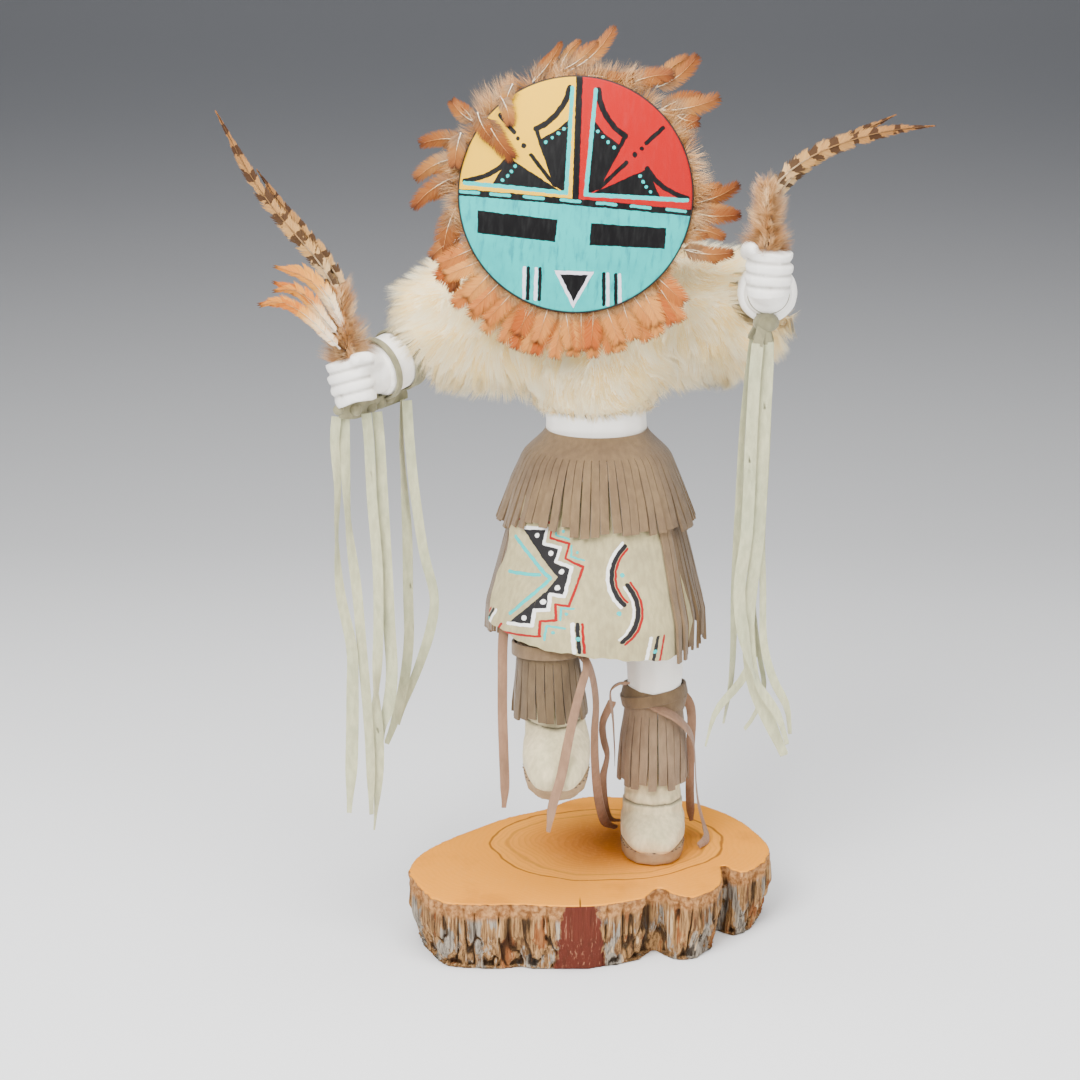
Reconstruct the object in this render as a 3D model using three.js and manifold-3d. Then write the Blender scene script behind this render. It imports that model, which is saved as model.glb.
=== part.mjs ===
// Kachina doll: a carved and painted dancer, dressed in hide, fur and feathers, on a slice of cedar.
// Millimetres, +Z up. The doll faces -Y, and "left" and "right" are its own sides, so its right
// hand is towards -X. The origin is the middle of the slab's underside.

import * as THREE from 'three';
import { mergeGeometries, mergeVertices } from 'three/addons/utils/BufferGeometryUtils.js';
import Module from 'manifold-3d';

const wasm = await Module();
wasm.setup();

// ---------------------------------------------------------------- driving dimensions

const GAP = 0.35; // clearance left between pieces that touch
const HIDE = 1.4; // thickness of the suede

const SLAB = { thickness: 36, bark: 1.6, undercut: 4, edgePoints: 76 };

const MASK = { radius: 54.7, rim: 3.4, dome: 9, back: 7, seat: 45, tilt: 10, roll: 4.5, at: [-8.5, -46, 382.5] };

const RUFF = { feathers: 31, inner: 47, outer: 56, thickness: 2.4, short: 9, long: 23, vane: 10.5 };

const HEAD = { radii: [27, 25, 29], at: [-8.5, -21, 380] };

const FIST = { width: 12.4, depth: 11.6, height: 13, fingers: 4, groove: 0.16 };

const FOREARM = 14.3; // radius of the turned forearms

const SHOE = { length: 49, width: 33, height: 20, sole: 5.8, shaft: 15 };

const KILT = { centre: [3, 0], strips: 30, longStrips: 25 };

// Half-width and half-depth of the skirt's innermost hide at each height; the apron and the short
// fringe lie over it, one step further out each.
const SKIRT = [
  [140, 53.4, 50], [171, 53, 50], [208, 44, 42], [234, 35.7, 34],
  [250, 29, 27.5], [256, 26.3, 25], [263, 22.4, 20.4],
];
const LAYER = 2;

const COLOUR = {
  gesso: 0xf1f0ee, turquoise: 0x5fc7cc, suede: 0x94826f, paleSuede: 0xa9ab97, apron: 0xb4ae97,
  rand: 0xb49a84, fur: 0xe9dfc6, hackle: 0xb4713f, pheasant: 0xc0a07a, fluff: 0xa88063, cedar: 0xb87436,
};

// ---------------------------------------------------------------- helpers

const v3 = (x, y, z) => new THREE.Vector3(x, y, z);
const rad = THREE.MathUtils.degToRad;
const lerp = THREE.MathUtils.lerp;

/** A repeatable number from 0 to 1 for whole number i. */
function scatter(i, salt = 0) {
  const s = Math.sin(i * 127.1 + salt * 311.7) * 43758.5453;
  return s - Math.floor(s);
}

/** Reads a table of [key, ...values] rows at a key between its rows. */
function readTable(rows, key) {
  const last = rows.length - 1;
  const k = THREE.MathUtils.clamp(key, rows[0][0], rows[last][0]);
  const i = Math.min(rows.findLastIndex((row) => row[0] <= k), last - 1);
  const share = (k - rows[i][0]) / (rows[i + 1][0] - rows[i][0]);
  return rows[i].slice(1).map((value, n) => lerp(value, rows[i + 1][n + 1], share));
}

/** Moves each vertex of a geometry by place(point), which edits the point it is given. */
function shaped(geometry, place) {
  const position = geometry.attributes.position;
  const point = new THREE.Vector3();
  for (let i = 0; i < position.count; i += 1) {
    place(point.fromBufferAttribute(position, i));
    position.setXYZ(i, point.x, point.y, point.z);
  }
  geometry.computeVertexNormals();
  return geometry;
}

/** A closed limb through stations [x, y, z, half-width, half-depth], its width turned to `across`. */
function limb(stations, { sides = 10, steps = 8, across = [1, 0, 0], grow = 0 } = {}) {
  const path = new THREE.CatmullRomCurve3(stations.map(([x, y, z]) => v3(x, y, z)));
  const size = new THREE.CatmullRomCurve3(stations.map(([, , , a, b]) => v3(a, b ?? a, 0)));
  return shaped(new THREE.CylinderGeometry(1, 1, 1, sides, steps), (p) => {
    const t = THREE.MathUtils.clamp(p.y + 0.5, 0, 1);
    const tangent = path.getTangent(t);
    const side = v3(...across).projectOnPlane(tangent).normalize();
    const front = side.clone().cross(tangent);
    const half = size.getPoint(t);
    const [a, b] = [p.x * (half.x + grow), p.z * (half.y + grow)];
    p.copy(path.getPoint(t)).addScaledVector(side, a).addScaledVector(front, b);
    p.addScaledVector(tangent, Math.sign(t - 0.5) * (t === 0 || t === 1 ? grow : 0));
  });
}

/** A geometry turned by degrees about X, Y and Z in turn, then moved. */
function placed(geometry, at, turn = [0, 0, 0]) {
  const euler = new THREE.Euler(...turn.map(rad), 'ZYX');
  return geometry.applyMatrix4(new THREE.Matrix4().makeRotationFromEuler(euler).setPosition(...at));
}

function toSolid(geometry) {
  const bare = geometry.clone();
  bare.deleteAttribute('normal');
  bare.deleteAttribute('uv');
  const { attributes, index } = mergeVertices(bare, 1e-4);
  const vertProperties = Float32Array.from(attributes.position.array);
  return new wasm.Manifold(new wasm.Mesh({ numProp: 3, vertProperties, triVerts: Uint32Array.from(index.array) }));
}

function toGeometry(solid) {
  const { vertProperties, triVerts } = solid.getMesh();
  const geometry = new THREE.BufferGeometry();
  geometry.setAttribute('position', new THREE.BufferAttribute(vertProperties, 3));
  geometry.setIndex(new THREE.BufferAttribute(triVerts, 1));
  geometry.computeVertexNormals();
  return geometry;
}

/** The geometries joined into one. */
function join(...geometries) {
  return toGeometry(geometries.map(toSolid).reduce((sum, next) => sum.add(next)));
}

/** The geometry with the tools cut away. */
function carve(geometry, ...tools) {
  return toGeometry(tools.map(toSolid).reduce((rest, tool) => rest.subtract(tool), toSolid(geometry)));
}

/** A flat band round an axis: the hoop of a wrapped thong. */
function hoop(radius, { width = 5, thickness = HIDE, segments = 10 } = {}) {
  const inner = radius / Math.cos(Math.PI / segments); // its flats clear the radius
  const [outer, half] = [inner + thickness, width / 2];
  const section = [[inner, -half], [outer, -half], [outer, half], [inner, half], [inner, -half]];
  return new THREE.LatheGeometry(section.map(([r, h]) => new THREE.Vector2(r, h)), segments);
}

/** A geometry built round +Y, turned so that +Y points along `axis`, then moved. */
function aimed(geometry, at, axis) {
  const turn = new THREE.Quaternion().setFromUnitVectors(v3(0, 1, 0), v3(...axis).normalize());
  return geometry.applyMatrix4(new THREE.Matrix4().makeRotationFromQuaternion(turn).setPosition(...at));
}

/** A flat thong along a route, its width turned towards `across` where it starts. */
function thong(route, { width = 5.4, thickness = 1.5, across = [1, 0, 0], steps = 7 } = {}) {
  const extrudePath = new THREE.CatmullRomCurve3(route.map(([x, y, z]) => v3(x, y, z)));
  const { normals, binormals } = extrudePath.computeFrenetFrames(steps, false);
  const turn = Math.atan2(v3(...across).dot(binormals[0]), v3(...across).dot(normals[0]));
  const [w, h] = [width / 2, thickness / 2];
  const corners = [[-w, -h], [w, -h], [w, h], [-w, h]].map(([x, y]) => new THREE.Vector2(x, y));
  corners.forEach((corner) => corner.rotateAround(new THREE.Vector2(), turn));
  return new THREE.ExtrudeGeometry(new THREE.Shape(corners), { steps, extrudePath, bevelEnabled: false });
}

/** Boxes that share whole faces made one geometry: a face that two of them share is left out. */
function fused(boxes) {
  const { attributes, index } = mergeVertices(mergeGeometries(boxes.map((box) => {
    box.deleteAttribute('normal');
    box.deleteAttribute('uv');
    return box;
  })), 1e-3);
  const quads = Array.from({ length: index.count / 6 }, (_, i) => Array.from(index.array.slice(i * 6, i * 6 + 6)));
  const key = (quad) => [...new Set(quad)].sort((a, b) => a - b).join();
  const uses = new Map();
  quads.forEach((quad) => uses.set(key(quad), (uses.get(key(quad)) ?? 0) + 1));
  const geometry = new THREE.BufferGeometry().setAttribute('position', attributes.position);
  geometry.setIndex(quads.filter((quad) => uses.get(key(quad)) === 1).flat());
  geometry.computeVertexNormals();
  return geometry;
}

/**
 * A wrapped hide whose lower part is slit into a fringe. It is laid out flat in boxes, with x the angle
 * round the wearer and y the height, and bent round by surface(angle, height, out).
 */
function fringe({ from, to, strips, top, band, hem, slit = 0.3, surface, bends = 1 }) {
  const step = (to - from) / strips;
  const half = (step * (1 - slit)) / 2;
  const boxes = [];
  const cell = (left, right, upper, lower) => {
    const box = new THREE.BoxGeometry(1, 1, HIDE).translate(0, 0, HIDE / 2);
    boxes.push(shaped(box, (p) => {
      p.copy(surface(rad(p.x < 0 ? left : right), p.y > 0 ? upper : lower, p.z));
    }));
  };
  for (let i = 0; i < strips; i += 1) {
    const middle = from + (i + 0.5) * step;
    const heights = [top, ...Array.from({ length: bends + 2 }, (_, k) => lerp(top - band, hem(i), k / (bends + 1)))];
    heights.slice(1).forEach((lower, k) => cell(middle - half, middle + half, heights[k], lower));
    if (i > 0) {
      cell(middle - step + half, middle - half, top, top - band);
    }
  }
  return fused(boxes);
}

// ---------------------------------------------------------------- the doll's materials and parts

const material = (color, roughness = 0.85) => new THREE.MeshStandardMaterial({ color, roughness, metalness: 0 });

const finish = {
  gesso: material(COLOUR.gesso, 0.55),
  mask: material(COLOUR.turquoise, 0.6),
  suede: material(COLOUR.suede, 0.95),
  paleSuede: material(COLOUR.paleSuede, 0.95),
  apron: material(COLOUR.apron, 0.95),
  rand: material(COLOUR.rand, 0.8),
  fur: material(COLOUR.fur, 1),
  hackle: material(COLOUR.hackle, 0.7),
  pheasant: material(COLOUR.pheasant, 0.6),
  fluff: material(COLOUR.fluff, 1),
  cedar: material(COLOUR.cedar, 0.6),
};

const doll = new THREE.Group();

function add(name, geometry, surface, parent = doll) {
  const mesh = new THREE.Mesh(geometry, surface.clone());
  mesh.name = name;
  parent.add(mesh);
  return mesh;
}

// ---------------------------------------------------------------- slab

/** The slice of cedar: an irregular outline with two weathered clefts, and ridged bark all round. */
function slab() {
  const at = (x, y) => new THREE.Vector2(x, y);
  const outline = new THREE.Shape();
  outline.moveTo(35, -47);
  outline.lineTo(27, -61);
  outline.splineThru([
    at(8, -69), at(-11, -71), at(-36, -69), at(-61, -69), at(-74, -66), at(-83, -54), at(-92, -28),
    at(-89, -9), at(-77, 11), at(-46, 43), at(-23, 57), at(-4, 74), at(18, 75), at(53, 70),
    at(73, 54), at(85, 36), at(94, 11), at(95, 1), at(93, -9), at(85, -25),
  ]);
  outline.lineTo(76, -30);
  outline.lineTo(68, -17);
  outline.lineTo(68, -35);
  outline.splineThru([at(65, -47), at(52, -61)]);
  outline.lineTo(43, -58);
  outline.closePath();
  const edge = new THREE.Shape(outline.getSpacedPoints(SLAB.edgePoints).slice(0, -1));
  const disc = new THREE.ExtrudeGeometry(edge, { depth: SLAB.thickness, steps: 2, bevelEnabled: false });
  return shaped(disc, (p) => {
    const angle = Math.atan2(p.y, p.x);
    const depth = 1 - p.z / SLAB.thickness;
    const ridge = Math.sin(angle * 47 + 2 * Math.sin(angle * 5)) + 0.6 * Math.sin(angle * 31 + p.z * 0.05);
    const bulge = Math.sin(Math.PI * depth) * 1.6 - SLAB.undercut * depth ** 2;
    const shift = depth === 0 ? -0.6 : ridge * SLAB.bark * Math.min(1, depth * 2) * 0.5 + bulge - 1;
    const radius = Math.hypot(p.x, p.y);
    p.x += (p.x / radius) * shift;
    p.y += (p.y / radius) * shift;
  });
}

// ---------------------------------------------------------------- mask and ruff

const face = new THREE.Group();
face.position.set(...MASK.at);
face.rotation.set(rad(90 - MASK.tilt), 0, 0);
const roll = new THREE.Group();
roll.rotation.z = -rad(MASK.roll);
face.add(roll);
doll.add(face);
face.updateMatrixWorld(true);

/** The round mask board, domed in front and low behind inside a flat rim, its axis along +Z. */
function maskBoard(grow = 0) {
  const { radius, rim, dome, back, seat } = MASK;
  const front = [0.95, 0.8, 0.6, 0.3, 0].map((r) => [radius * r, rim / 2 + dome * (1 - r ** 2.2)]);
  const profile = [
    [0, -rim / 2 - back], [seat * 0.6, -rim / 2 - back * 0.75], [seat, -rim / 2], [radius - 0.8, -rim / 2],
    [radius, 0], ...front,
  ].map(([r, h]) => new THREE.Vector2(r + (r > 0 ? grow : 0), h + Math.sign(h) * grow));
  return new THREE.LatheGeometry(profile, 26).rotateX(Math.PI / 2);
}

/** One vane of the ruff, pointing along +X from the rim ring, bent a little forward at its tip. */
function ruffVane(reach, width, curl) {
  const root = RUFF.inner + 3;
  const tip = MASK.radius + reach;
  const outline = new THREE.Shape([
    [root, -width * 0.25], [lerp(root, tip, 0.75), -width * 0.5], [tip, -width * 0.2],
    [tip, width * 0.24], [lerp(root, tip, 0.7), width * 0.48], [root, width * 0.25],
  ].map(([x, y]) => new THREE.Vector2(x, y)));
  const vane = new THREE.ExtrudeGeometry(outline, { depth: 1, bevelEnabled: false });
  return shaped(vane, (p) => {
    p.z += curl * ((p.x - root) / (tip - root)) ** 2 - 0.5;
  });
}

/** The feather ruff: short even vanes round the chin, longer loose ones round the sides and crown. */
function ruff() {
  const back = -MASK.rim / 2 - GAP - RUFF.thickness;
  const ring = [[RUFF.inner, 0], [RUFF.outer, 0], [RUFF.outer, RUFF.thickness], [RUFF.inner, RUFF.thickness]];
  const band = new THREE.LatheGeometry([...ring, ring[0]].map(([r, h]) => new THREE.Vector2(r, h)), 17);
  const vanes = [band.rotateX(Math.PI / 2)];
  for (let i = 0; i < RUFF.feathers; i += 1) {
    const angle = (i / RUFF.feathers) * 360 + 4 * (scatter(i) - 0.5);
    const chin = Math.max(0, -Math.sin(rad(angle))) ** 0.7;
    const reach = lerp(RUFF.short + (RUFF.long - RUFF.short) * scatter(i, 1), RUFF.short + 1.5, chin);
    const lean = lerp(34 * (scatter(i, 2) - 0.5), 0, chin);
    const vane = ruffVane(reach, RUFF.vane * lerp(0.8, 1, chin), lerp(4 * (scatter(i, 3) - 0.6), -1, chin));
    vane.translate(-RUFF.outer, 0, 1.2).rotateZ(rad(lean)).translate(RUFF.outer, 0, 0).rotateZ(rad(angle));
    vanes.push(vane);
  }
  return join(...vanes).translate(0, 0, back);
}

// ---------------------------------------------------------------- carved figure

const HIP = KILT.centre;

/** Torso with its neck, which leans forward into the head. */
function torso(grow = 0) {
  const [x, y] = HIP;
  return limb([
    [x, y, 198, 13, 11], [x, y, 218, 29, 22], [x, y, 245, 26.5, 21], [x, y, 262, 24.6, 19.6],
    [x - 1, y, 276, 25.5, 20], [x - 3, 2, 300, 31, 21], [x - 5, 3, 322, 33, 19], [-5, 0, 338, 20, 16],
    [-7, -6, 350, 14, 13], [-8.5, -14, 364, 14, 13],
  ], { sides: 12, steps: 8, grow });
}

/** The raised right leg, knee bent forward, ending in the top of its moccasin. */
function raisedLeg(grow = 0) {
  return limb([
    [-10, 0, 226, 17, 16], [-16, -14, 200, 17, 16], [-21, -30, 176, 15, 14.5], [-21.5, -35, 158, 13.4, 13],
    [-20.5, -34, 138, 12.4, 12], [-18, -34, 112, 10, 10],
  ], { sides: 10, steps: 5, grow });
}

/** The straight left leg that the doll stands on. */
function standingLeg(grow = 0) {
  return limb([
    [15, 1, 226, 17, 17], [25, 0, 190, 17, 16.5], [31.5, -2, 158, 15, 15], [33.2, -2, 136, 14.6, 14.6],
    [33, 2, 110, 12.6, 12.6], [33.2, 4, 62, 10, 10],
  ], { sides: 10, steps: 5, grow });
}

/** The plain back of the head, which the mask is fixed to. */
function head(grow = 0) {
  const [x, y, z] = HEAD.radii.map((radius) => radius + grow);
  return placed(new THREE.SphereGeometry(1, 12, 8).rotateX(Math.PI / 2).scale(x, y, z), HEAD.at);
}

function figure(grow = 0) {
  return join(torso(grow), head(grow), raisedLeg(grow), standingLeg(grow));
}

/** A closed hand round an upright grip, fingers towards -Y, with a groove between each two fingers. */
function fist() {
  const rows = FIST.fingers * 2;
  return shaped(new THREE.CylinderGeometry(1, 1, 1, 10, rows), (p) => {
    const t = p.y + 0.5;
    const angle = Math.atan2(p.x, p.z);
    const round = Math.max(0.42, 1 - Math.abs(2 * t - 1) ** 3.2) ** 0.5;
    const wave = 0.05 * Math.sin(3 * angle);
    const finger = Math.abs(Math.sin(Math.PI * FIST.fingers * (t + wave * Math.cos(angle / 2))));
    const front = THREE.MathUtils.smoothstep(Math.cos(angle), -0.35, 0.25);
    const r = Math.hypot(p.x, p.z) * round * (1 - FIST.groove * front * (1 - finger ** 0.6));
    p.set(r * FIST.width * Math.sin(angle), -r * FIST.depth * Math.cos(angle), (2 * t - 1) * FIST.height);
  });
}

const RIGHT = {
  fist: [-115.5, -28, 290.5], turn: [0, -18, -36], thumb: [[-104, -23, 298, 4.6], [-108, -31, 301.5, 4.6],
    [-113.5, -36, 302.5, 3.4]], wrist: [-105, -14.5, 292.8], axis: [-0.69, -0.69, -0.22],
};

const LEFT = {
  fist: [81, -57, 348], turn: [0, 3, 4], thumb: [[72, -47, 356, 4.4], [71.5, -58, 359.5, 4.2],
    [73, -65, 360, 3]], wrist: [82.6, -36.5, 334.9], axis: [-0.05, -0.985, 0.17],
};

/** Forearm end back along its axis by a distance. */
const behind = ({ wrist, axis }, distance) => wrist.map((value, i) => value - axis[i] * distance);

/** Straight turned forearm with a flat end at the wrist. */
function forearm(arm, length, grow = 0) {
  const [x, y, z] = arm.wrist;
  return limb([[...behind(arm, length), FOREARM, FOREARM], [x, y, z, FOREARM, FOREARM]],
    { sides: 12, steps: 1, across: [0, 0, 1], grow });
}

function rightArm(grow = 0) {
  const upper = limb([[-27, 4, 320, 15, 15], [-55, 8, 311, 14.5, 14.5], [...behind(RIGHT, 27), FOREARM, FOREARM]],
    { steps: 3, across: [0, 0, 1], grow });
  return join(upper, forearm(RIGHT, 30, grow));
}

function leftArm(grow = 0) {
  const upper = limb([[22, 4, 320, 15, 15], [52, 6, 319, 14.5, 14.5], [83, 4, 326.5, 14, 14]],
    { steps: 3, across: [0, 0, 1], grow });
  return join(upper, forearm(LEFT, 46, grow));
}

/** An arm with its wrist, fist and thumb. */
function hand(arm, { fist: at, turn, thumb, wrist, axis }) {
  const neck = limb([[...wrist.map((value, i) => value - axis[i] * 3), 12.6, 12.6], [...wrist, 12.6, 12.6],
    [...at.map((value, i) => lerp(value, wrist[i], 0.25)), 9.4, 9.6]], { steps: 2, across: [0, 0, 1] });
  const tip = limb(thumb.map(([x, y, z, r]) => [x, y, z, r, r]), { sides: 6, steps: 3, across: [0, 0, 1] });
  return join(arm, neck, placed(fist(), at, turn), tip);
}

// ---------------------------------------------------------------- fur

/** The fur cape over the chest, with a full sleeve over each upper arm. */
function mantle() {
  const across = [0, 0, 1];
  const chest = limb([
    [2, -2, 267.5, 27, 23.5], [2, -2, 273, 31, 27], [1, -3, 284, 37, 32], [0, -3, 306, 45, 36],
    [-3, -1, 332, 42, 32], [-5, 1, 348, 27, 24], [-6, 1, 354, 17, 17],
  ], { sides: 10, steps: 5 });
  const right = limb([
    [-16, 2, 314, 34, 27], [-40, 0, 315, 39, 31], [-62, 0, 314, 36, 31], [-80, -1, 312, 30, 28],
    [-92, -2, 309, 21, 21], [-96.5, -2, 309, 10, 11],
  ], { across, sides: 9, steps: 4 });
  const left = limb([
    [14, 2, 316, 34, 27], [36, 0, 318, 38, 31], [60, 0, 317, 36, 31], [78, -2, 316, 31, 29],
    [89, -4, 313, 22, 23], [95, -5, 312, 10, 12],
  ], { across, sides: 9, steps: 4 });
  const cape = shaped(join(chest, right, left), (p) => {
    const lock = Math.sin(p.x * 0.31 + 1) * Math.sin(p.z * 0.24) + 0.5 * Math.sin(p.x * 0.52 + p.z * 0.4);
    p.y += Math.sign(p.y) * lock * 1.1;
  });
  return carve(cape, torso(GAP), rightArm(GAP), leftArm(GAP), forearm(RIGHT, 19.6, 3.2));
}

// ---------------------------------------------------------------- kilt

/** A point on the skirt, steps layers out from its innermost hide. */
function skirtPoint(angle, height, out, layers = 0, knee = 0) {
  const [width, depth] = readTable(SKIRT, height);
  const spread = layers * LAYER + out;
  const push = knee * Math.max(0, Math.cos(angle - rad(-122))) ** 3 * THREE.MathUtils.clamp((208 - height) / 35, 0, 1);
  return v3(
    KILT.centre[0] + (width + spread + push * 0.3) * Math.cos(angle),
    KILT.centre[1] + (depth + spread + push) * Math.sin(angle),
    height,
  );
}

function longFringe() {
  const droop = (i) => lerp(146, 160, i / KILT.longStrips) + 5 * (scatter(i, 7) - 0.5);
  return fringe({
    from: -58, to: 215, strips: KILT.longStrips, top: 254, band: 30, hem: droop, slit: 0.32,
    surface: (angle, height, out) => skirtPoint(angle, height, out),
  });
}

function shortFringe() {
  const hem = (i) => 213 + 5 * scatter(i, 5) - 5 * Math.max(0, Math.cos(rad((i / KILT.strips) * 350 - 95)));
  return fringe({
    from: -95, to: 255, strips: KILT.strips, top: 264, band: 12, hem, slit: 0.22, bends: 0,
    surface: (angle, height, out) => skirtPoint(angle, height, out, 2.6),
  });
}

/** The painted apron: one hide with a wandering edge, hung in front and pushed out by the knee. */
function apron() {
  const edge = [
    [-142, 242], [-150, 215], [-147, 205], [-151, 192], [-152, 180], [-148, 171], [-120, 165], [-95, 161],
    [-72, 157], [-52, 155], [-37, 158], [-33, 170], [-36, 190], [-40, 208], [-44, 242],
  ];
  const columns = 9;
  const rows = 4;
  const left = edge.slice(0, 6).reverse().map(([a, z]) => [z, a]);
  const right = edge.slice(9).map(([a, z]) => [z, a]);
  const bottom = edge.slice(5, 11);
  const sheet = new THREE.BoxGeometry(1, 1, 1, columns, rows, 1);
  return shaped(sheet, (p) => {
    const [across, up, out] = [p.x + 0.5, p.y + 0.5, (p.z + 0.5) * HIDE];
    const guess = lerp(-150, -38, across);
    const low = readTable(bottom, guess)[0];
    const height = lerp(low, 242, up);
    const angle = lerp(readTable(left, height)[0], readTable(right, height)[0], across);
    p.copy(skirtPoint(rad(angle), height, out, 1, 8));
  });
}

// ---------------------------------------------------------------- legs' wraps, ties and moccasins

/** A fringed cuff round a leg, from its band down; rows give [height, x, y, radius]. */
function cuff(rows, { strips = 12, band = 9 }) {
  const heights = rows.map(([height]) => height);
  return fringe({
    from: -80, to: 268, strips, top: Math.max(...heights), band, slit: 0.28,
    hem: (i) => Math.min(...heights) + 3.2 * scatter(i, rows[0][3]), bends: 0,
    surface: (angle, height, out) => {
      const [x, y, radius] = readTable(rows, height);
      return v3(x + (radius + out) * Math.cos(angle), y + (radius + out) * Math.sin(angle), height);
    },
  });
}

/** The foot of a moccasin, heel at +Y, toe at -Y, standing on z = 0 at its sole line. */
function foot(grow = 0) {
  const half = SHOE.width / 2;
  const vamp = limb([
    [1, 20.5, 6, 7, 6], [1, 17, 8, 12.5, 10], [0.6, 6, 9.5, half - 0.4, 13], [0, -8, 9, half, 11.5],
    [-0.6, -19, 7, half - 3, 8], [-1, -26, 4.4, half - 8, 4.6],
  ], { sides: 10, steps: 6, grow });
  return shaped(vamp, (p) => {
    p.z = Math.max(p.z, -grow);
  });
}

/** The stiff rand and sole under the foot. */
function sole() {
  const outline = new THREE.Shape();
  const half = SHOE.width / 2;
  outline.moveTo(0, -SHOE.length / 2 - 5.4);
  outline.bezierCurveTo(half, -SHOE.length / 2 - 5.4, half + 2.2, -10, half + 0.4, 0);
  outline.bezierCurveTo(half, 14, 11, SHOE.length / 2 - 2, 1, SHOE.length / 2 - 2);
  outline.bezierCurveTo(-10, SHOE.length / 2 - 2, -half, 14, -half - 0.2, 0);
  outline.bezierCurveTo(-half - 2.2, -10, -half, -SHOE.length / 2 - 5.4, 0, -SHOE.length / 2 - 5.4);
  const plate = new THREE.ExtrudeGeometry(outline, { depth: SHOE.sole, bevelEnabled: false, curveSegments: 4 });
  return shaped(plate, (p) => {
    const low = p.z < SHOE.sole / 2 ? 0.93 : 1;
    p.set(p.x * low, p.y * low, p.z - SHOE.sole - GAP);
  });
}

/** A moccasin upper: its foot with a straight shaft, hollowed for the leg that goes into it. */
function moccasin(place, shaft, leg) {
  return carve(join(foot().applyMatrix4(place), shaft), leg);
}

const place = (at, turn) => {
  const euler = new THREE.Euler(...turn.map(rad), 'ZYX');
  return new THREE.Matrix4().makeRotationFromEuler(euler).setPosition(...at);
};

const standingFoot = place([33, 4, SLAB.thickness + 2 * GAP + SHOE.sole], [0, 0, 0]);
const raisedFoot = place([-17, -38, 100.5], [16, 0, 0]);

function standingShaft() {
  return limb([[33.2, 4, 50, 14.4, 14.4], [33, 4, 62, SHOE.shaft, SHOE.shaft], [33, 4, 81, 14.6, 14.6]],
    { steps: 2 });
}

function raisedShaft() {
  return limb([[-17, -35.5, 110, 14.6, 13.6], [-17, -34.5, 116, 15.4, 14.6], [-19.4, -34, 127, 14.6, 14]],
    { steps: 2 });
}

// ---------------------------------------------------------------- feathers held in the hands

/** A long feather: a thin vane along a route, widest a third of the way up, its face to -Y. */
function quill(route, width, grow = 0) {
  const last = route.length - 1;
  const stations = route.map(([x, y, z], i) => {
    const share = i / last;
    const spread = width * 0.5 * Math.min(1, 0.45 + 2.2 * share) * (1 - 0.72 * share ** 4);
    return [x, y, z, spread, 0.75];
  });
  const [rise, run] = [route[last][2] - route[0][2], route[last][0] - route[0][0]];
  return limb(stations, { sides: 6, steps: last, across: [rise, 0, -run], grow });
}

/** A tuft of down: a lumpy ball with ragged points, drawn out along its height. */
function tuft([x, y, z], [a, b, c], lean) {
  return shaped(new THREE.SphereGeometry(1, 9, 6), (p) => {
    const angle = Math.atan2(p.z, p.x);
    const rag = 1 + 0.1 * Math.sin(angle * 5 + 3 * p.y) + 0.07 * Math.cos(angle * 3 - 5 * p.y);
    p.set(x + p.x * a * rag + lean * p.y, y - p.z * b * rag, z + p.y * c);
  });
}

const RIGHT_TAILS = [
  [[-124, -25.5, 337], [-130, -26, 348], [-140, -26, 360], [-152, -26, 375], [-163, -26, 392],
    [-170, -26, 406], [-176, -26, 418]],
  [[-120, -21.5, 336], [-126, -21.5, 347], [-136, -21.5, 360], [-147, -21.5, 374], [-158, -21.5, 390]],
];

const LEFT_TAILS = [
  [[78, -60, 381], [86, -60, 393], [100, -60.5, 403], [116, -61, 409.5], [134, -61, 414], [153, -61, 416]],
  [[82, -54.5, 380], [92, -54.5, 393.5], [106, -55, 404], [121, -55.5, 412.5], [136, -56, 420]],
];

const HACKLES = [
  [[-121, -32, 323], [-127, -33, 334], [-136, -34, 343], [-147, -34, 346]],
  [[-126, -36.5, 321], [-133, -37.5, 331], [-141, -38, 336.5], [-149, -38, 338.5]],
  [[-126, -41, 316], [-134, -42, 325], [-145, -42.5, 331], [-157, -42.5, 331]],
];

// ---------------------------------------------------------------- routes of the free thongs

const RIGHT_THONGS = [
  [[-123, -30, 273.4], [-124, -30, 261], [-123, -30, 239], [-124, -30, 215], [-123, -30, 186], [-118, -30, 157],
    [-118, -30, 134], [-119, -30, 102], [-121, -30, 70]],
  [[-119.5, -27, 273.4], [-119.5, -27, 261], [-119, -27, 236], [-118, -27, 214], [-115, -27, 185], [-113, -27, 154],
    [-111, -27, 123], [-110, -27, 96], [-110, -27, 68]],
  [[-109, -23.5, 273.4], [-108, -23.5, 260], [-107, -23.5, 230], [-105, -23.5, 198], [-105, -23.5, 169],
    [-106, -23.5, 143], [-107, -23.5, 119], [-106, -23.5, 91], [-109, -23.5, 58]],
  [[-104, -20, 273.4], [-103, -20, 259], [-102, -20, 228], [-101, -20, 198], [-100, -20, 167], [-99, -20, 141],
    [-101, -20, 123], [-104, -20, 113], [-105, -20, 105]],
  [[-92.5, -6, 276.4], [-93, -6, 256], [-92, -6, 232], [-91, -6, 208], [-91, -6, 177], [-91, -6, 153],
    [-94, -6, 129], [-99, -6, 109], [-103, -6, 98]],
  [[-90, -10, 276.8], [-89, -10, 257], [-87, -10, 233], [-83, -9, 201], [-78, -8, 177], [-80, -6, 159],
    [-86, -3, 139], [-93, -1, 120], [-97, 0, 106]],
];

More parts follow.
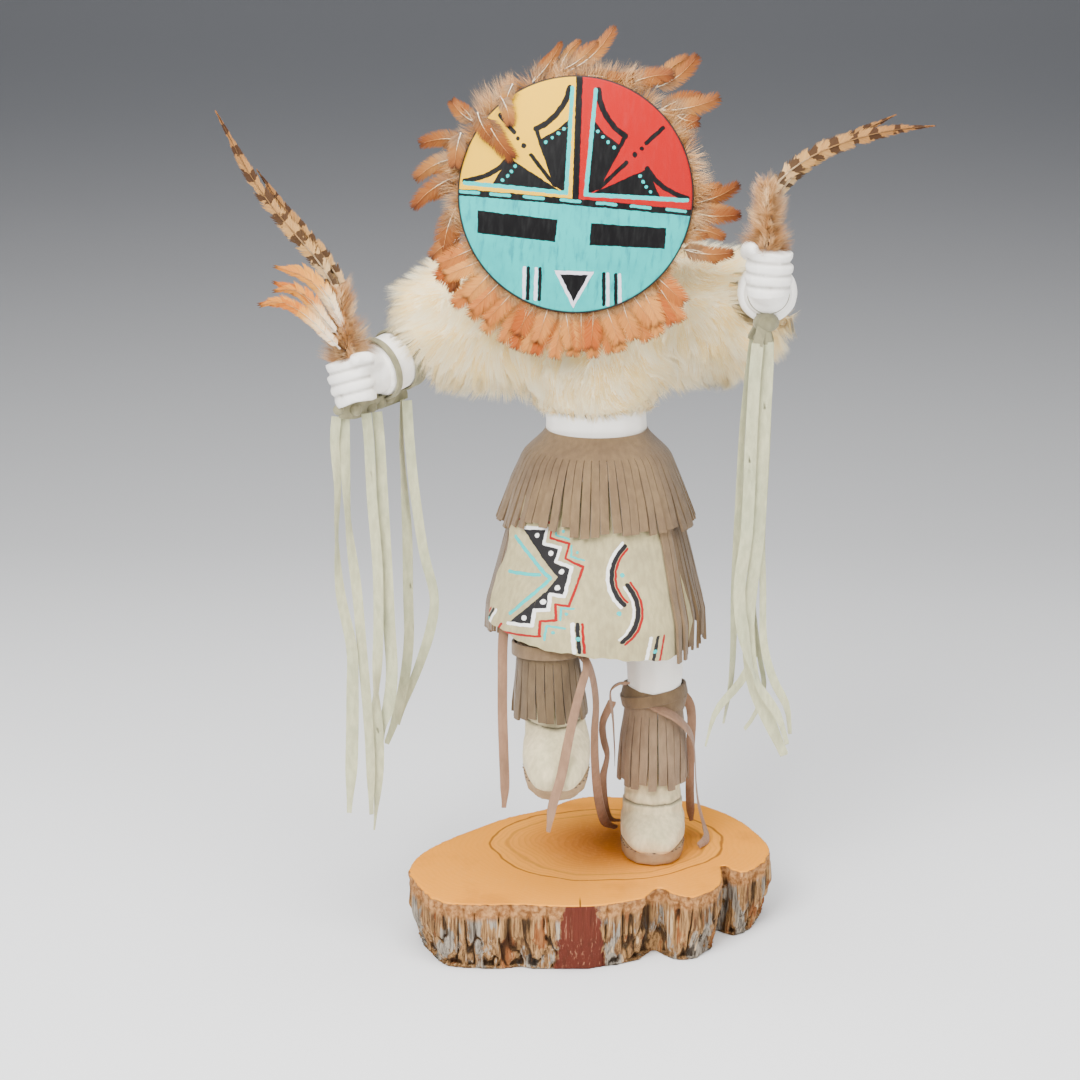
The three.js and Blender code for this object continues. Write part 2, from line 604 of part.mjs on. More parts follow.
const LEFT_THONGS = [
  [[75.5, -36, 313.6], [74, -36, 298], [72, -36, 267], [71, -36, 223], [70, -36, 188], [70, -36, 159],
    [69, -36, 139], [66, -36, 120]],
  [[77, -52, 313.6], [76, -52, 299], [75, -52, 267], [74, -52, 223], [71, -52, 193], [74, -52, 169],
    [81, -52, 146], [91, -52, 130], [96, -52, 115]],
  [[82, -49, 313.6], [82, -49, 298], [81, -49, 263], [80, -49, 222], [77, -49, 192], [76, -49, 171],
    [79, -49, 146], [87, -49, 126], [95, -49, 108]],
  [[83, -45.5, 313.6], [83, -45.5, 297], [83, -45.5, 262], [82, -45.5, 221], [83, -45.5, 191], [84, -45.5, 165],
    [89, -45.5, 146], [96, -45.5, 132], [98, -45.5, 118]],
  [[80, -42.4, 313.6], [80, -42.4, 296], [79, -42.4, 261], [78, -42.4, 220], [79, -42.4, 185], [82, -42.4, 159],
    [85, -42.4, 141], [81, -42.4, 127], [76, -42.4, 119]],
  [[78, -39.2, 313.6], [77, -39.2, 296], [77, -39.2, 260], [77, -39.2, 220], [78, -39.2, 184], [80, -39.2, 159],
    [74, -39.2, 143], [62, -39.2, 127], [57, -39.2, 109]],
];

const RIGHT_TIES = [
  [[-43.5, -35, 160], [-43.5, -36.5, 142], [-43.5, -38, 124], [-43, -38, 105], [-42.5, -38, 87], [-43, -38, 76]],
  [[-4, -55.5, 150], [-7, -58, 138], [-11, -64, 122], [-15, -69, 103], [-19, -69.5, 89], [-21, -69.5, 76]],
  [[-0.4, -43, 151], [1.5, -35, 141], [3, -28, 126], [2.5, -22, 110], [3, -14, 90], [5, 0, 66], [9, 13, 47],
    [15, 24, 39.4]],
];

const LEFT_TIES = [
  [[19, -19, 134.5], [14, -21, 135], [10, -20.5, 130], [11.5, -17, 116], [12.6, -12.5, 98], [13, -10, 87]],
  [[11.5, -9, 121], [7, -8, 110], [7.5, -6, 100], [9.5, -3, 90], [7.5, 2, 76], [8, 10, 60], [11, 25, 44],
    [17, 33, 39.4]],
  [[43, -19.5, 118], [49, -13, 110], [53, -7, 100], [54.5, -2, 88], [55.5, 4, 74], [57.5, 12, 58], [61, 20, 43],
    [62, 10, 39.4], [57, -1, 39.4]],
  [[52.8, 5, 112], [52.6, 8, 92], [52.8, 13, 73], [53.5, 19, 57], [55, 28, 42]],
];

// ---------------------------------------------------------------- assembly

add('slab', slab(), finish.cedar);

add('mask', maskBoard(), finish.mask, roll);
add('feather_ruff', ruff(), finish.hackle, roll);

const maskSeat = maskBoard(GAP).applyMatrix4(face.matrixWorld);
add('figure', carve(figure(), maskSeat), finish.gesso);

const arms = { right: hand(rightArm(), RIGHT), left: hand(leftArm(), LEFT) };
add('right_arm', carve(arms.right, torso(GAP)), finish.gesso);
add('left_arm', carve(arms.left, torso(GAP)), finish.gesso);

add('fur_mantle', mantle(), finish.fur);

add('kilt_long_fringe', longFringe(), finish.suede);
add('kilt_short_fringe', shortFringe(), finish.suede);
add('apron', apron(), finish.apron);

const RIGHT_CUFF = [[123, -20, -34, 17.2], [140, -20.8, -34, 16], [160, -21.4, -35, 15.2]];
const LEFT_CUFF = [[74, 33, 4, 16.4], [100, 33, 3.4, 15.8], [122, 33, 1.4, 15.4]];
add('right_leg_cuff', cuff(RIGHT_CUFF, {}), finish.suede);
add('left_leg_cuff', cuff(LEFT_CUFF, {}), finish.suede);

/** One turn of a thong round a leg, tipped sideways by `lean` degrees and down behind. */
function legTurn([x, y, z], radius, lean, width = 6) {
  return aimed(hoop(radius, { width }), [x, y, z], [Math.sin(rad(lean)), 0.1, Math.cos(rad(lean))]);
}

const crossing = [33, 1.6, 122];
add('right_leg_band', legTurn([-21.2, -35, 157.5], 17.7, 0), finish.suede);
add('left_leg_band', join(legTurn(crossing, 18.3, 12), legTurn(crossing, 18.5, -12, 5)), finish.suede);

add('right_moccasin', moccasin(raisedFoot, raisedShaft(), raisedLeg(GAP)), finish.paleSuede);
add('left_moccasin', moccasin(standingFoot, standingShaft(), standingLeg(GAP)), finish.paleSuede);
add('right_moccasin_sole', sole().applyMatrix4(raisedFoot), finish.rand);
add('left_moccasin_sole', sole().applyMatrix4(standingFoot), finish.rand);

/** The thong wound round the right forearm and wrist, with the knotted length that joins the turns. */
function rightWristWrap() {
  const upper = aimed(hoop(FOREARM + GAP, { width: 4.4 }), behind(RIGHT, 17), RIGHT.axis);
  const lower = aimed(hoop(FOREARM + GAP, { width: 3.4 }), behind(RIGHT, 2.2), RIGHT.axis);
  const link = limb([[-90.6, -0.6, 281.2, 2.6, 2], [-96, -6.5, 279.6, 3, 2], [-101.2, -11.5, 278.2, 3.2, 2],
    [-107, -19, 277.4, 3.2, 2.2], [-114, -25.5, 276.8, 3.2, 2], [-122, -30, 277.6, 3, 1.6]],
  { sides: 6, steps: 5, across: [0, 0, 1] });
  return join(upper, lower, link);
}

/** The thong wound round the left wrist, its ends gathered below the fist. */
function leftWristWrap() {
  const turn = aimed(hoop(12.9, { width: 4.6 }), behind(LEFT, -2.8), LEFT.axis);
  const gather = limb([[82, -42, 325, 6, 5], [81, -44, 319, 7, 8], [81, -44, 314.4, 7, 9.4]],
    { sides: 8, steps: 2, across: [1, 0, 0] });
  return join(turn, gather);
}

add('right_wrist_wrap', carve(rightWristWrap(), arms.right), finish.paleSuede);
add('left_wrist_wrap', carve(leftWristWrap(), arms.left), finish.paleSuede);

const rightTuft = tuft([-118.5, -26, 314], [13, 13, 21], -4);
const leftTuft = tuft([80, -57, 375], [12.6, 12, 16], 1);
const heldFeathers = [...RIGHT_TAILS, ...LEFT_TAILS];
const held = (grow) => heldFeathers.map((route, i) => quill(route, i % 2 ? 7 : 8.6, grow));
const hackles = (grow) => HACKLES.map((route) => quill(route, 8, grow));
add('right_hand_tuft', carve(rightTuft, arms.right, ...held(GAP).slice(0, 2), ...hackles(GAP)), finish.fluff);
add('left_hand_tuft', carve(leftTuft, arms.left, ...held(GAP).slice(2)), finish.fluff);
held(0).forEach((feather, i) => {
  add(`${i < 2 ? 'right' : 'left'}_tail_feather_${(i % 2) + 1}`, feather, finish.pheasant);
});
hackles(0).forEach((feather, i) => add(`right_hackle_${i + 1}`, feather, finish.hackle));

RIGHT_THONGS.forEach((route, i) => add(`right_thong_${i + 1}`, thong(route), finish.paleSuede));
LEFT_THONGS.forEach((route, i) => add(`left_thong_${i + 1}`, thong(route), finish.paleSuede));
RIGHT_TIES.forEach((route, i) => add(`right_leg_tie_${i + 1}`, thong(route, { width: 4.6 }), finish.suede));
LEFT_TIES.forEach((route, i) => add(`left_leg_tie_${i + 1}`, thong(route, { width: 4.6 }), finish.suede));

export default doll;
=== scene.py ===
"""Kachina doll: a carved and painted dancer dressed in suede, fur and feathers, on a slice of cedar.

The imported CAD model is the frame. Every piece here is in metres, in that frame: +Z up, the doll faces
-Y, and "right" and "left" are its own sides, so its right hand is towards -X.
"""
import logging
import random
from collections.abc import Callable, Sequence
from dataclasses import dataclass, field
from enum import Enum
from math import copysign, cos, degrees, exp, hypot, pi, radians, sin, tau

import bmesh
import bpy
import numpy as np
from mathutils import Matrix, Vector
from mathutils.bvhtree import BVHTree
from mathutils.kdtree import KDTree
from mathutils.noise import noise, noise_vector, seed_set


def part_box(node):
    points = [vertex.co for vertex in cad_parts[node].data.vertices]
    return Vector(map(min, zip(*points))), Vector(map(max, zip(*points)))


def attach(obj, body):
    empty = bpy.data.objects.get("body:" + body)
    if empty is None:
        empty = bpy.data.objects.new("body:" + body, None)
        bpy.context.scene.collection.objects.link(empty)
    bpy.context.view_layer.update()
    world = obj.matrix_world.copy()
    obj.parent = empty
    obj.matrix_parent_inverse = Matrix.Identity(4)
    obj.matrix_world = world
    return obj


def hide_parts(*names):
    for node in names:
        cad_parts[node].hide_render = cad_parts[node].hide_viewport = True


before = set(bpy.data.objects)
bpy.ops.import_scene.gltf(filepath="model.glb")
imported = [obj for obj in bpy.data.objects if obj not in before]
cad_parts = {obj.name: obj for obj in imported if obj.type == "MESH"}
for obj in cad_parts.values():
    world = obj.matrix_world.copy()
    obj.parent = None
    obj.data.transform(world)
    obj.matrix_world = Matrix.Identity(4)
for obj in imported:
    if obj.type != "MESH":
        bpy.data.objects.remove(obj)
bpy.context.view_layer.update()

MM = 0.001
BODY = "root"
NOISE_SEED = 5

log = logging.getLogger("doll")

Tone = tuple[float, float, float, float]
Socket = bpy.types.NodeSocket
Row = tuple[float, ...]
Material, Mesh, Object = bpy.types.Material, bpy.types.Mesh, bpy.types.Object
BMesh = bmesh.types.BMesh
Rng = random.Random


# ---------------------------------------------------------------- small helpers


def tone(code: str) -> Tone:
    """Returns the scene-linear colour of an sRGB code such as "d8c8a0"."""
    channels = [int(code[i:i + 2], 16) / 255 for i in (0, 2, 4)]
    red, green, blue = (c / 12.92 if c <= 0.04045 else ((c + 0.055) / 1.055) ** 2.4 for c in channels)
    return (red, green, blue, 1.0)


def lerp(a: float, b: float, share: float) -> float:
    """Returns the value a share of the way from a to b."""
    return a + (b - a) * share


def ease(value: float, low: float, high: float) -> float:
    """Returns 0 below low, 1 above high, and a smooth step between."""
    share = min(1.0, max(0.0, (value - low) / (high - low)))
    return share * share * (3 - 2 * share)


def read_table(rows: Sequence[Row], key: float) -> list[float]:
    """Reads a table of (key, values...) rows, with straight lines between the rows."""
    key = min(max(key, rows[0][0]), rows[-1][0])
    i = max(k for k in range(len(rows) - 1) if rows[k][0] <= key)
    share = (key - rows[i][0]) / (rows[i + 1][0] - rows[i][0])
    return [lerp(a, b, share) for a, b in zip(rows[i][1:], rows[i + 1][1:])]


def smooth_path(points: Sequence[Row], count: int) -> list[Vector]:
    """Returns count points, evenly spaced by length, on a smooth curve through points in millimetres."""
    knots = [Vector(p) * MM for p in points]
    knots = [2 * knots[0] - knots[1], *knots, 2 * knots[-1] - knots[-2]]
    fine = []
    for p0, p1, p2, p3 in zip(knots, knots[1:], knots[2:], knots[3:]):
        for step in range(16):
            t = step / 16
            fine.append(0.5 * ((2 * p1) + (p2 - p0) * t + (2 * p0 - 5 * p1 + 4 * p2 - p3) * t ** 2
                               + (3 * p1 - p0 - 3 * p2 + p3) * t ** 3))
    fine.append(knots[-2])
    reach = np.concatenate([[0], np.cumsum([(b - a).length for a, b in zip(fine, fine[1:])])])
    places = np.interp(np.linspace(0, reach[-1], count), reach, np.arange(len(fine)))
    return [fine[int(p)].lerp(fine[min(int(p) + 1, len(fine) - 1)], p % 1) for p in places]


def path_length(points: Sequence[Vector]) -> float:
    """Returns the length of a run of points."""
    return sum((b - a).length for a, b in zip(points, points[1:]))


def new_object(name: str, data: bpy.types.ID) -> Object:
    """Makes an object at the origin for a mesh, a camera or a light, and links it to the scene."""
    obj = bpy.data.objects.new(name, data)
    bpy.context.scene.collection.objects.link(obj)
    return obj


def to_mesh(name: str, bm: BMesh) -> Mesh:
    """Turns a bmesh into a smooth-shaded mesh and frees it."""
    bmesh.ops.recalc_face_normals(bm, faces=bm.faces[:])
    for face in bm.faces:
        face.smooth = True
    mesh = bpy.data.meshes.new(name)
    bm.to_mesh(mesh)
    bm.free()
    return mesh


def cad_bmesh(node: str) -> BMesh:
    """Returns a copy of a CAD node's mesh with its doubles merged."""
    bm = bmesh.new()
    bm.from_mesh(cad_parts[node].data)
    bmesh.ops.remove_doubles(bm, verts=bm.verts[:], dist=2e-6)
    return bm


def remeshed(bm: BMesh, voxel: float, smooth: int = 0, swell: float = 0.0) -> Mesh:
    """Skins a closed mesh afresh with an even grid, then smooths it.

    Args:
        bm: the closed shapes to skin, which may overlap; it is freed.
        voxel: the grid size in metres.
        smooth: how many rounds of smoothing follow.
        swell: how far the smoothed skin is pushed out along its normals, in metres.

    Returns:
        The new mesh.
    """
    work = new_object("work", to_mesh("work", bm))
    grid = work.modifiers.new("skin", "REMESH")
    grid.mode = "VOXEL"
    grid.voxel_size = voxel
    if smooth:
        soften = work.modifiers.new("soften", "SMOOTH")
        soften.factor = 0.5
        soften.iterations = smooth
    if swell:
        push = work.modifiers.new("push", "DISPLACE")
        push.strength = swell
        push.mid_level = 0.0
    shape = work.evaluated_get(bpy.context.evaluated_depsgraph_get())
    mesh = bpy.data.meshes.new_from_object(shape)
    old = work.data
    bpy.data.objects.remove(work)
    bpy.data.meshes.remove(old)
    mesh.shade_smooth()
    return mesh


def crisp(mesh: Mesh) -> Mesh:
    """Makes a thin sheet's cut edges sharp, and returns the mesh."""
    mesh.set_sharp_from_angle(angle=radians(38))
    return mesh


def normals_of(mesh: Mesh) -> list[Vector]:
    """Returns copies of a mesh's point normals, read before its points move."""
    return [vert.normal.copy() for vert in mesh.vertices]


def store(mesh: Mesh, name: str, values: Sequence[float]) -> None:
    """Stores one number for each of a mesh's points, as an attribute."""
    mesh.attributes.new(name, "FLOAT", "POINT").data.foreach_set("value", values)


def ball(bm: BMesh, at: Row, radius: float, detail: int = 3) -> None:
    """Adds a ball, its place and radius in millimetres."""
    bmesh.ops.create_icosphere(bm, subdivisions=detail, radius=radius * MM, matrix=moved(at))


def moved(at: Row) -> Matrix:
    """Returns the move to a place in millimetres."""
    return Matrix.Translation(Vector(at) * MM)


def thickened(name: str, bm: BMesh, thickness: float) -> Object:
    """Makes an object of an open sheet, given a thickness in millimetres."""
    bmesh.ops.solidify(bm, geom=bm.faces[:], thickness=thickness * MM)
    return new_object(name, crisp(to_mesh(name, bm)))


def dress(obj: Object, nodes: Sequence[str], slot: str, *materials: Material) -> None:
    """Gives a piece its materials and its body, and hides the nodes that it stands for."""
    for material in materials:
        obj.data.materials.append(material)
    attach(obj, BODY)
    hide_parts(*nodes)
    log.info("%s: %d faces", obj.name, len(obj.data.polygons))


# ---------------------------------------------------------------- shader building


class Graph:
    """Adds nodes to one node tree and joins them up."""

    def __init__(self, tree: bpy.types.NodeTree) -> None:
        """Works on the given tree."""
        self.tree = tree

    def node(self, kind: str, inputs: dict | None = None, **settings: object) -> bpy.types.Node:
        """Adds a node with its settings, and links or sets the inputs given by name or number."""
        made = self.tree.nodes.new(kind)
        for key, value in settings.items():
            setattr(made, key, value)
        self.feed_all(made, inputs or {})
        return made

    def feed_all(self, node: bpy.types.Node, inputs: dict) -> None:
        """Feeds a node's inputs, given by name or number."""
        for key, value in inputs.items():
            self.feed(value, node.inputs[key])

    def feed(self, value: object, socket: Socket) -> None:
        """Links a socket to another one, or sets it to a plain value or to the colour of an sRGB code."""
        if isinstance(value, bpy.types.NodeSocket):
            self.tree.links.new(value, socket)
        else:
            socket.default_value = tone(value) if isinstance(value, str) else value

    def math(self, operation: str, a: object, b: object = 0.0) -> Socket:
        """Returns the result of a Math node."""
        return self.node("ShaderNodeMath", {0: a, 1: b}, operation=operation).outputs[0]

    def times(self, a: object, b: object) -> Socket:
        """Returns a product."""
        return self.math("MULTIPLY", a, b)

    def plus(self, a: object, b: object) -> Socket:
        """Returns a sum."""
        return self.math("ADD", a, b)

    def minus(self, a: object, b: object) -> Socket:
        """Returns a difference."""
        return self.math("SUBTRACT", a, b)

    def rest(self, a: object) -> Socket:
        """Returns what is left of one."""
        return self.minus(1.0, a)

    def vector(self, operation: str, a: object, b: object = (0, 0, 0)) -> Socket:
        """Returns the vector result of a Vector Math node."""
        return self.node("ShaderNodeVectorMath", {0: a, 1: b}, operation=operation).outputs["Vector"]

    def number(self, operation: str, a: object, b: object = (0, 0, 0)) -> Socket:
        """Returns the number that a Vector Math node gives, such as a dot product."""
        return self.node("ShaderNodeVectorMath", {0: a, 1: b}, operation=operation).outputs["Value"]

    def scaled(self, vector: object, by: Row) -> Socket:
        """Returns a vector with each part multiplied."""
        return self.vector("MULTIPLY", vector, by)

    def mix(self, share: object, a: object, b: object, blend: str = "MIX") -> Socket:
        """Returns two colours mixed."""
        made = self.node("ShaderNodeMix", {0: share, 6: a, 7: b}, data_type="RGBA", blend_type=blend)
        return made.outputs[2]

    def noise(self, vector: object, scale: float, detail: float = 3.0, rough: float = 0.55) -> Socket:
        """Returns soft noise from 0 to 1."""
        inputs = {"Vector": vector, "Scale": scale, "Detail": detail, "Roughness": rough}
        return self.node("ShaderNodeTexNoise", inputs).outputs["Fac"]

    def step(self, value: object, low: object, high: object) -> Socket:
        """Returns 0 below low and 1 above high, smoothly between."""
        inputs = {"Value": value, "From Min": low, "From Max": high}
        return self.node("ShaderNodeMapRange", inputs, interpolation_type="SMOOTHSTEP").outputs["Result"]

    def ramp(self, value: object, stops: Sequence[tuple[float, str]]) -> Socket:
        """Returns the colour at a value on a ramp of stops."""
        made = self.node("ShaderNodeValToRGB", {"Fac": value})
        elements = made.color_ramp.elements
        while len(elements) < len(stops):
            elements.new(0.5)
        for element, (place, colour) in zip(elements, stops):
            element.position = place
            element.color = tone(colour)
        return made.outputs["Color"]

    def object_place(self) -> Socket:
        """Returns the point's place in the frame, in metres."""
        return self.node("ShaderNodeTexCoord").outputs["Object"]

    def parts(self, vector: Socket) -> Sequence[Socket]:
        """Returns a vector's three parts."""
        return self.node("ShaderNodeSeparateXYZ", {"Vector": vector}).outputs

    def attribute(self, name: str) -> Socket:
        """Returns a number stored on the piece's points."""
        return self.node("ShaderNodeAttribute", attribute_name=name).outputs["Fac"]

    def bump(self, height: object, distance: float, strength: float = 1.0) -> Socket:
        """Returns a normal bumped by a height."""
        inputs = {"Height": height, "Distance": distance, "Strength": strength}
        return self.node("ShaderNodeBump", inputs).outputs["Normal"]

    def group(self, tree: bpy.types.NodeTree, inputs: dict) -> bpy.types.Node:
        """Places a node group with its inputs."""
        made = self.node("ShaderNodeGroup", node_tree=tree)
        self.feed_all(made, inputs)
        return made


class SocketKind(Enum):
    """The kinds of socket that the node groups have."""

    NUMBER = "NodeSocketFloat"
    VECTOR = "NodeSocketVector"
    COLOUR = "NodeSocketColor"


def new_group(name: str, inputs: dict[str, SocketKind], outputs: dict[str, SocketKind]) -> tuple:
    """Makes an empty node group.

    Returns:
        The tree, its graph, its input sockets by name, and its output node.
    """
    tree = bpy.data.node_groups.new(name, "ShaderNodeTree")
    for label, kind in inputs.items():
        tree.interface.new_socket(label, in_out="INPUT", socket_type=kind.value)
    for label, kind in outputs.items():
        tree.interface.new_socket(label, in_out="OUTPUT", socket_type=kind.value)
    given = tree.nodes.new("NodeGroupInput").outputs
    return tree, Graph(tree), given, tree.nodes.new("NodeGroupOutput")


def stroke_group() -> bpy.types.NodeTree:
    """Returns a group that gives the mask of one brush stroke from A to B."""
    kinds = {"Place": SocketKind.VECTOR, "A": SocketKind.VECTOR, "B": SocketKind.VECTOR,
             "Half Width": SocketKind.NUMBER}
    tree, g, given, out = new_group("brush stroke", kinds, {"Mask": SocketKind.NUMBER})
    along = g.vector("SUBTRACT", given["B"], given["A"])
    reach = g.vector("SUBTRACT", given["Place"], given["A"])
    share = g.math("DIVIDE", g.number("DOT_PRODUCT", reach, along),
                   g.math("MAXIMUM", g.number("DOT_PRODUCT", along, along), 1e-6))
    share = g.node("ShaderNodeClamp", {"Value": share}).outputs[0]
    foot = g.node("ShaderNodeVectorMath", {0: along, "Scale": share}, operation="SCALE").outputs["Vector"]
    gap = g.minus(g.number("LENGTH", g.vector("SUBTRACT", reach, foot)), given["Half Width"])
    g.feed(g.rest(g.step(gap, -0.12, 0.12)), out.inputs["Mask"])
    return tree


def half_plane_group() -> bpy.types.NodeTree:
    """Returns a group that masks the side of a line that its normal points to."""
    kinds = {"Place": SocketKind.VECTOR, "A": SocketKind.VECTOR, "Normal": SocketKind.VECTOR}
    tree, g, given, out = new_group("paint edge", kinds, {"Mask": SocketKind.NUMBER})
    gap = g.number("DOT_PRODUCT", g.vector("SUBTRACT", given["Place"], given["A"]), given["Normal"])
    g.feed(g.step(gap, -0.12, 0.12), out.inputs["Mask"])
    return tree


def nap_group() -> bpy.types.NodeTree:
    """Returns a group that turns a suede's colour into napped, handled and unevenly dyed suede."""
    kinds = {"Place": SocketKind.VECTOR, "Colour": SocketKind.COLOUR, "Stain": SocketKind.COLOUR,
             "Stain Share": SocketKind.NUMBER}
    tree, g, given, out = new_group("suede nap", kinds,
                                    {"Colour": SocketKind.COLOUR, "Height": SocketKind.NUMBER})
    cloud = g.step(g.noise(given["Place"], 55, 4), 0.35, 0.7)
    strokes = g.noise(g.scaled(given["Place"], (1, 1, 0.35)), 420, 3)
    fibre = g.noise(given["Place"], 2600, 2)
    colour = g.mix(g.times(cloud, given["Stain Share"]), given["Colour"], given["Stain"])
    darker = g.mix(1.0, colour, (0.87, 0.86, 0.85, 1), "MULTIPLY")
    lighter = g.mix(1.0, colour, (1.09, 1.09, 1.08, 1), "MULTIPLY")
    colour = g.mix(g.step(strokes, 0.3, 0.72), darker, lighter)
    colour = g.mix(g.times(g.step(fibre, 0.5, 0.8), 0.25), colour, darker)
    g.feed(colour, out.inputs["Colour"])
    g.feed(g.plus(g.times(strokes, 0.6), g.times(fibre, 0.5)),
           out.inputs["Height"])
    return tree


STROKE = stroke_group()
HALF_PLANE = half_plane_group()
NAP = nap_group()


def new_material(name: str) -> tuple[Material, Graph, bpy.types.Node]:
    """Makes a material and returns it with its graph and its Principled shader."""
    material = bpy.data.materials.new(name)
    material.use_nodes = True
    shader = material.node_tree.nodes["Principled BSDF"]
    shader.inputs["Specular IOR Level"].default_value = 0.15
    return material, Graph(material.node_tree), shader


@dataclass
class Painter:
    """Lays flat paint on a colour, in strokes and patches given in millimetres on a flat drawing.

    Strokes and patches gather in one wet mask until a colour is laid with it.
    """

    graph: Graph
    place: Socket
    colour: object
    cover: object = 0.0
    wet: Socket | None = None

    def add(self, mask: Socket) -> None:
        """Adds a mask to the wet one."""
        self.wet = mask if self.wet is None else self.graph.math("MAXIMUM", self.wet, mask)

    def line(self, points: Sequence[Row], width: float) -> None:
        """Adds a brush line through points."""
        for a, b in zip(points, points[1:]):
            inputs = {"Place": self.place, "A": (*a, 0), "B": (*b, 0), "Half Width": width / 2}
            self.add(self.graph.group(STROKE, inputs).outputs["Mask"])

    def dots(self, points: Sequence[Row], width: float) -> None:
        """Adds round dots."""
        for point in points:
            self.line([point, point], width)

    def patch(self, points: Sequence[Row]) -> None:
        """Adds a convex patch."""
        area = sum(a[0] * b[1] - b[0] * a[1] for a, b in zip(points, [*points[1:], points[0]]))
        patch = None
        for a, b in zip(points, [*points[1:], points[0]]):
            inward = Vector((a[1] - b[1], b[0] - a[0], 0)).normalized() * copysign(1, area)
            inputs = {"Place": self.place, "A": (*a, 0), "Normal": tuple(inward)}
            mask = self.graph.group(HALF_PLANE, inputs).outputs["Mask"]
            patch = mask if patch is None else self.graph.math("MINIMUM", patch, mask)
        self.add(patch)

    def lay(self, colour: object) -> None:
        """Lays a colour where the wet mask is, and clears the mask."""
        self.colour = self.graph.mix(self.wet, self.colour, colour)
        self.cover = self.graph.math("MAXIMUM", self.cover, self.wet)
        self.wet = None


def arc(centre: Row, radius: float, start: float, end: float, steps: int = 7) -> list[Row]:
    """Returns points along an arc, its angles in degrees."""
    angles = [radians(lerp(start, end, k / steps)) for k in range(steps + 1)]
    return [(centre[0] + radius * cos(a), centre[1] + radius * sin(a)) for a in angles]


# ---------------------------------------------------------------- finishes


@dataclass(frozen=True)
class Suede:
    """Napped suede, dyed unevenly."""

    name: str
    colour: str
    stain: str
    stain_share: float = 0.5
    shaded_and_soiled: bool = False

    def material(self) -> Material:
        """Builds the material; where asked, it is darkened by a stored attribute that holds painted shade in seam
        grooves and dirty blotches.
        """
        material, g, shader = new_material(self.name)
        place = g.object_place()
        nap = g.group(NAP, {"Place": place, "Colour": self.colour, "Stain": self.stain,
                            "Stain Share": self.stain_share})
        colour = nap.outputs["Colour"]
        if self.shaded_and_soiled:
            # Painted shade in the seam's groove, and dirty blotches.
            colour = g.mix(g.attribute("groove_shade_and_soil"), colour, "4c4636")
        g.feed_all(shader, {
            "Base Color": colour,
            "Normal": g.bump(nap.outputs["Height"], 0.00035),
            "Roughness": 0.92,
            "Sheen Weight": 0.25,
            "Sheen Roughness": 0.5})
        return material


@dataclass(frozen=True)
class Gesso:
    """White painted ground over wood, a little satin, with faint brush drag, handling marks and painted shade in the
    finger grooves.
    """

    colour: str = "faf6ee"
    grime: str = "c9b99c"

    def material(self) -> Material:
        """Builds the material."""
        material, g, shader = new_material("white ground")
        place = g.object_place()
        drag = g.noise(g.scaled(place, (1, 1, 0.2)), 520, 3)
        marks = g.step(g.noise(place, 38, 5, 0.6), 0.56, 0.8)
        colour = g.mix(g.times(marks, 0.28), self.colour, self.grime)
        # Painted shade: grey in the carved finger grooves, from the stored groove attribute.
        colour = g.mix(g.times(g.attribute("groove_shade_and_soil"), 0.6), colour, "8e857a")
        g.feed_all(shader, {
            "Base Color": colour,
            "Roughness": g.plus(0.42, g.times(drag, 0.22)),
            "Specular IOR Level": 0.4})
        lumps = g.plus(g.times(drag, 0.3), g.noise(place, 130, 3))
        g.feed(g.bump(lumps, 0.0003), shader.inputs["Normal"])
        return material


@dataclass(frozen=True)
class Rand:
    """The tan edge leather of the moccasins, smooth and rubbed."""

    colour: str = "a48a68"
    rubbed: str = "866c50"

    def material(self) -> Material:
        """Builds the material."""
        material, g, shader = new_material("rand leather")
        place = g.object_place()
        wear = g.step(g.noise(place, 160, 4), 0.4, 0.7)
        layers = g.noise(g.scaled(place, (1, 1, 9)), 190, 3)
        colour = g.mix(g.times(wear, 0.6), self.colour, self.rubbed)
        colour = g.mix(g.times(g.step(layers, 0.5, 0.75), 0.25), colour, "6b4f38")
        g.feed_all(shader, {
            "Base Color": colour,
            "Normal": g.bump(g.noise(place, 900, 3), 0.0002),
            "Roughness": 0.7})
        return material


@dataclass(frozen=True)
class Hair:
    """Fur, down and feather barbs: coloured by how far along each strand a point lies."""

    name: str
    stops: tuple[tuple[float, str], ...]
    tint: str
    rough: float = 0.7
    bars: float = 0.0
    sheen: float = 0.15
    bar: str = "2e180c"

    def material(self) -> Material:
        """Builds the material."""
        material, g, shader = new_material(self.name)
        along = g.attribute("along")
        colour = g.ramp(along, self.stops)
        colour = g.mix(g.attribute("tint"), colour, g.mix(1.0, colour, self.tint, "MULTIPLY"))
        if self.bars:
            waver = g.times(g.noise(g.object_place(), 260, 2), 0.9)
            beat = g.math("FRACT", g.plus(g.times(along, self.bars), waver))
            bar = g.times(g.step(beat, 0.5, 0.55), g.rest(g.step(beat, 0.9, 0.95)))
            colour = g.mix(g.times(bar, 0.9), colour, self.bar)
        g.feed_all(shader, {
            "Base Color": colour,
            "Roughness": self.rough,
            "Sheen Weight": self.sheen})
        return material


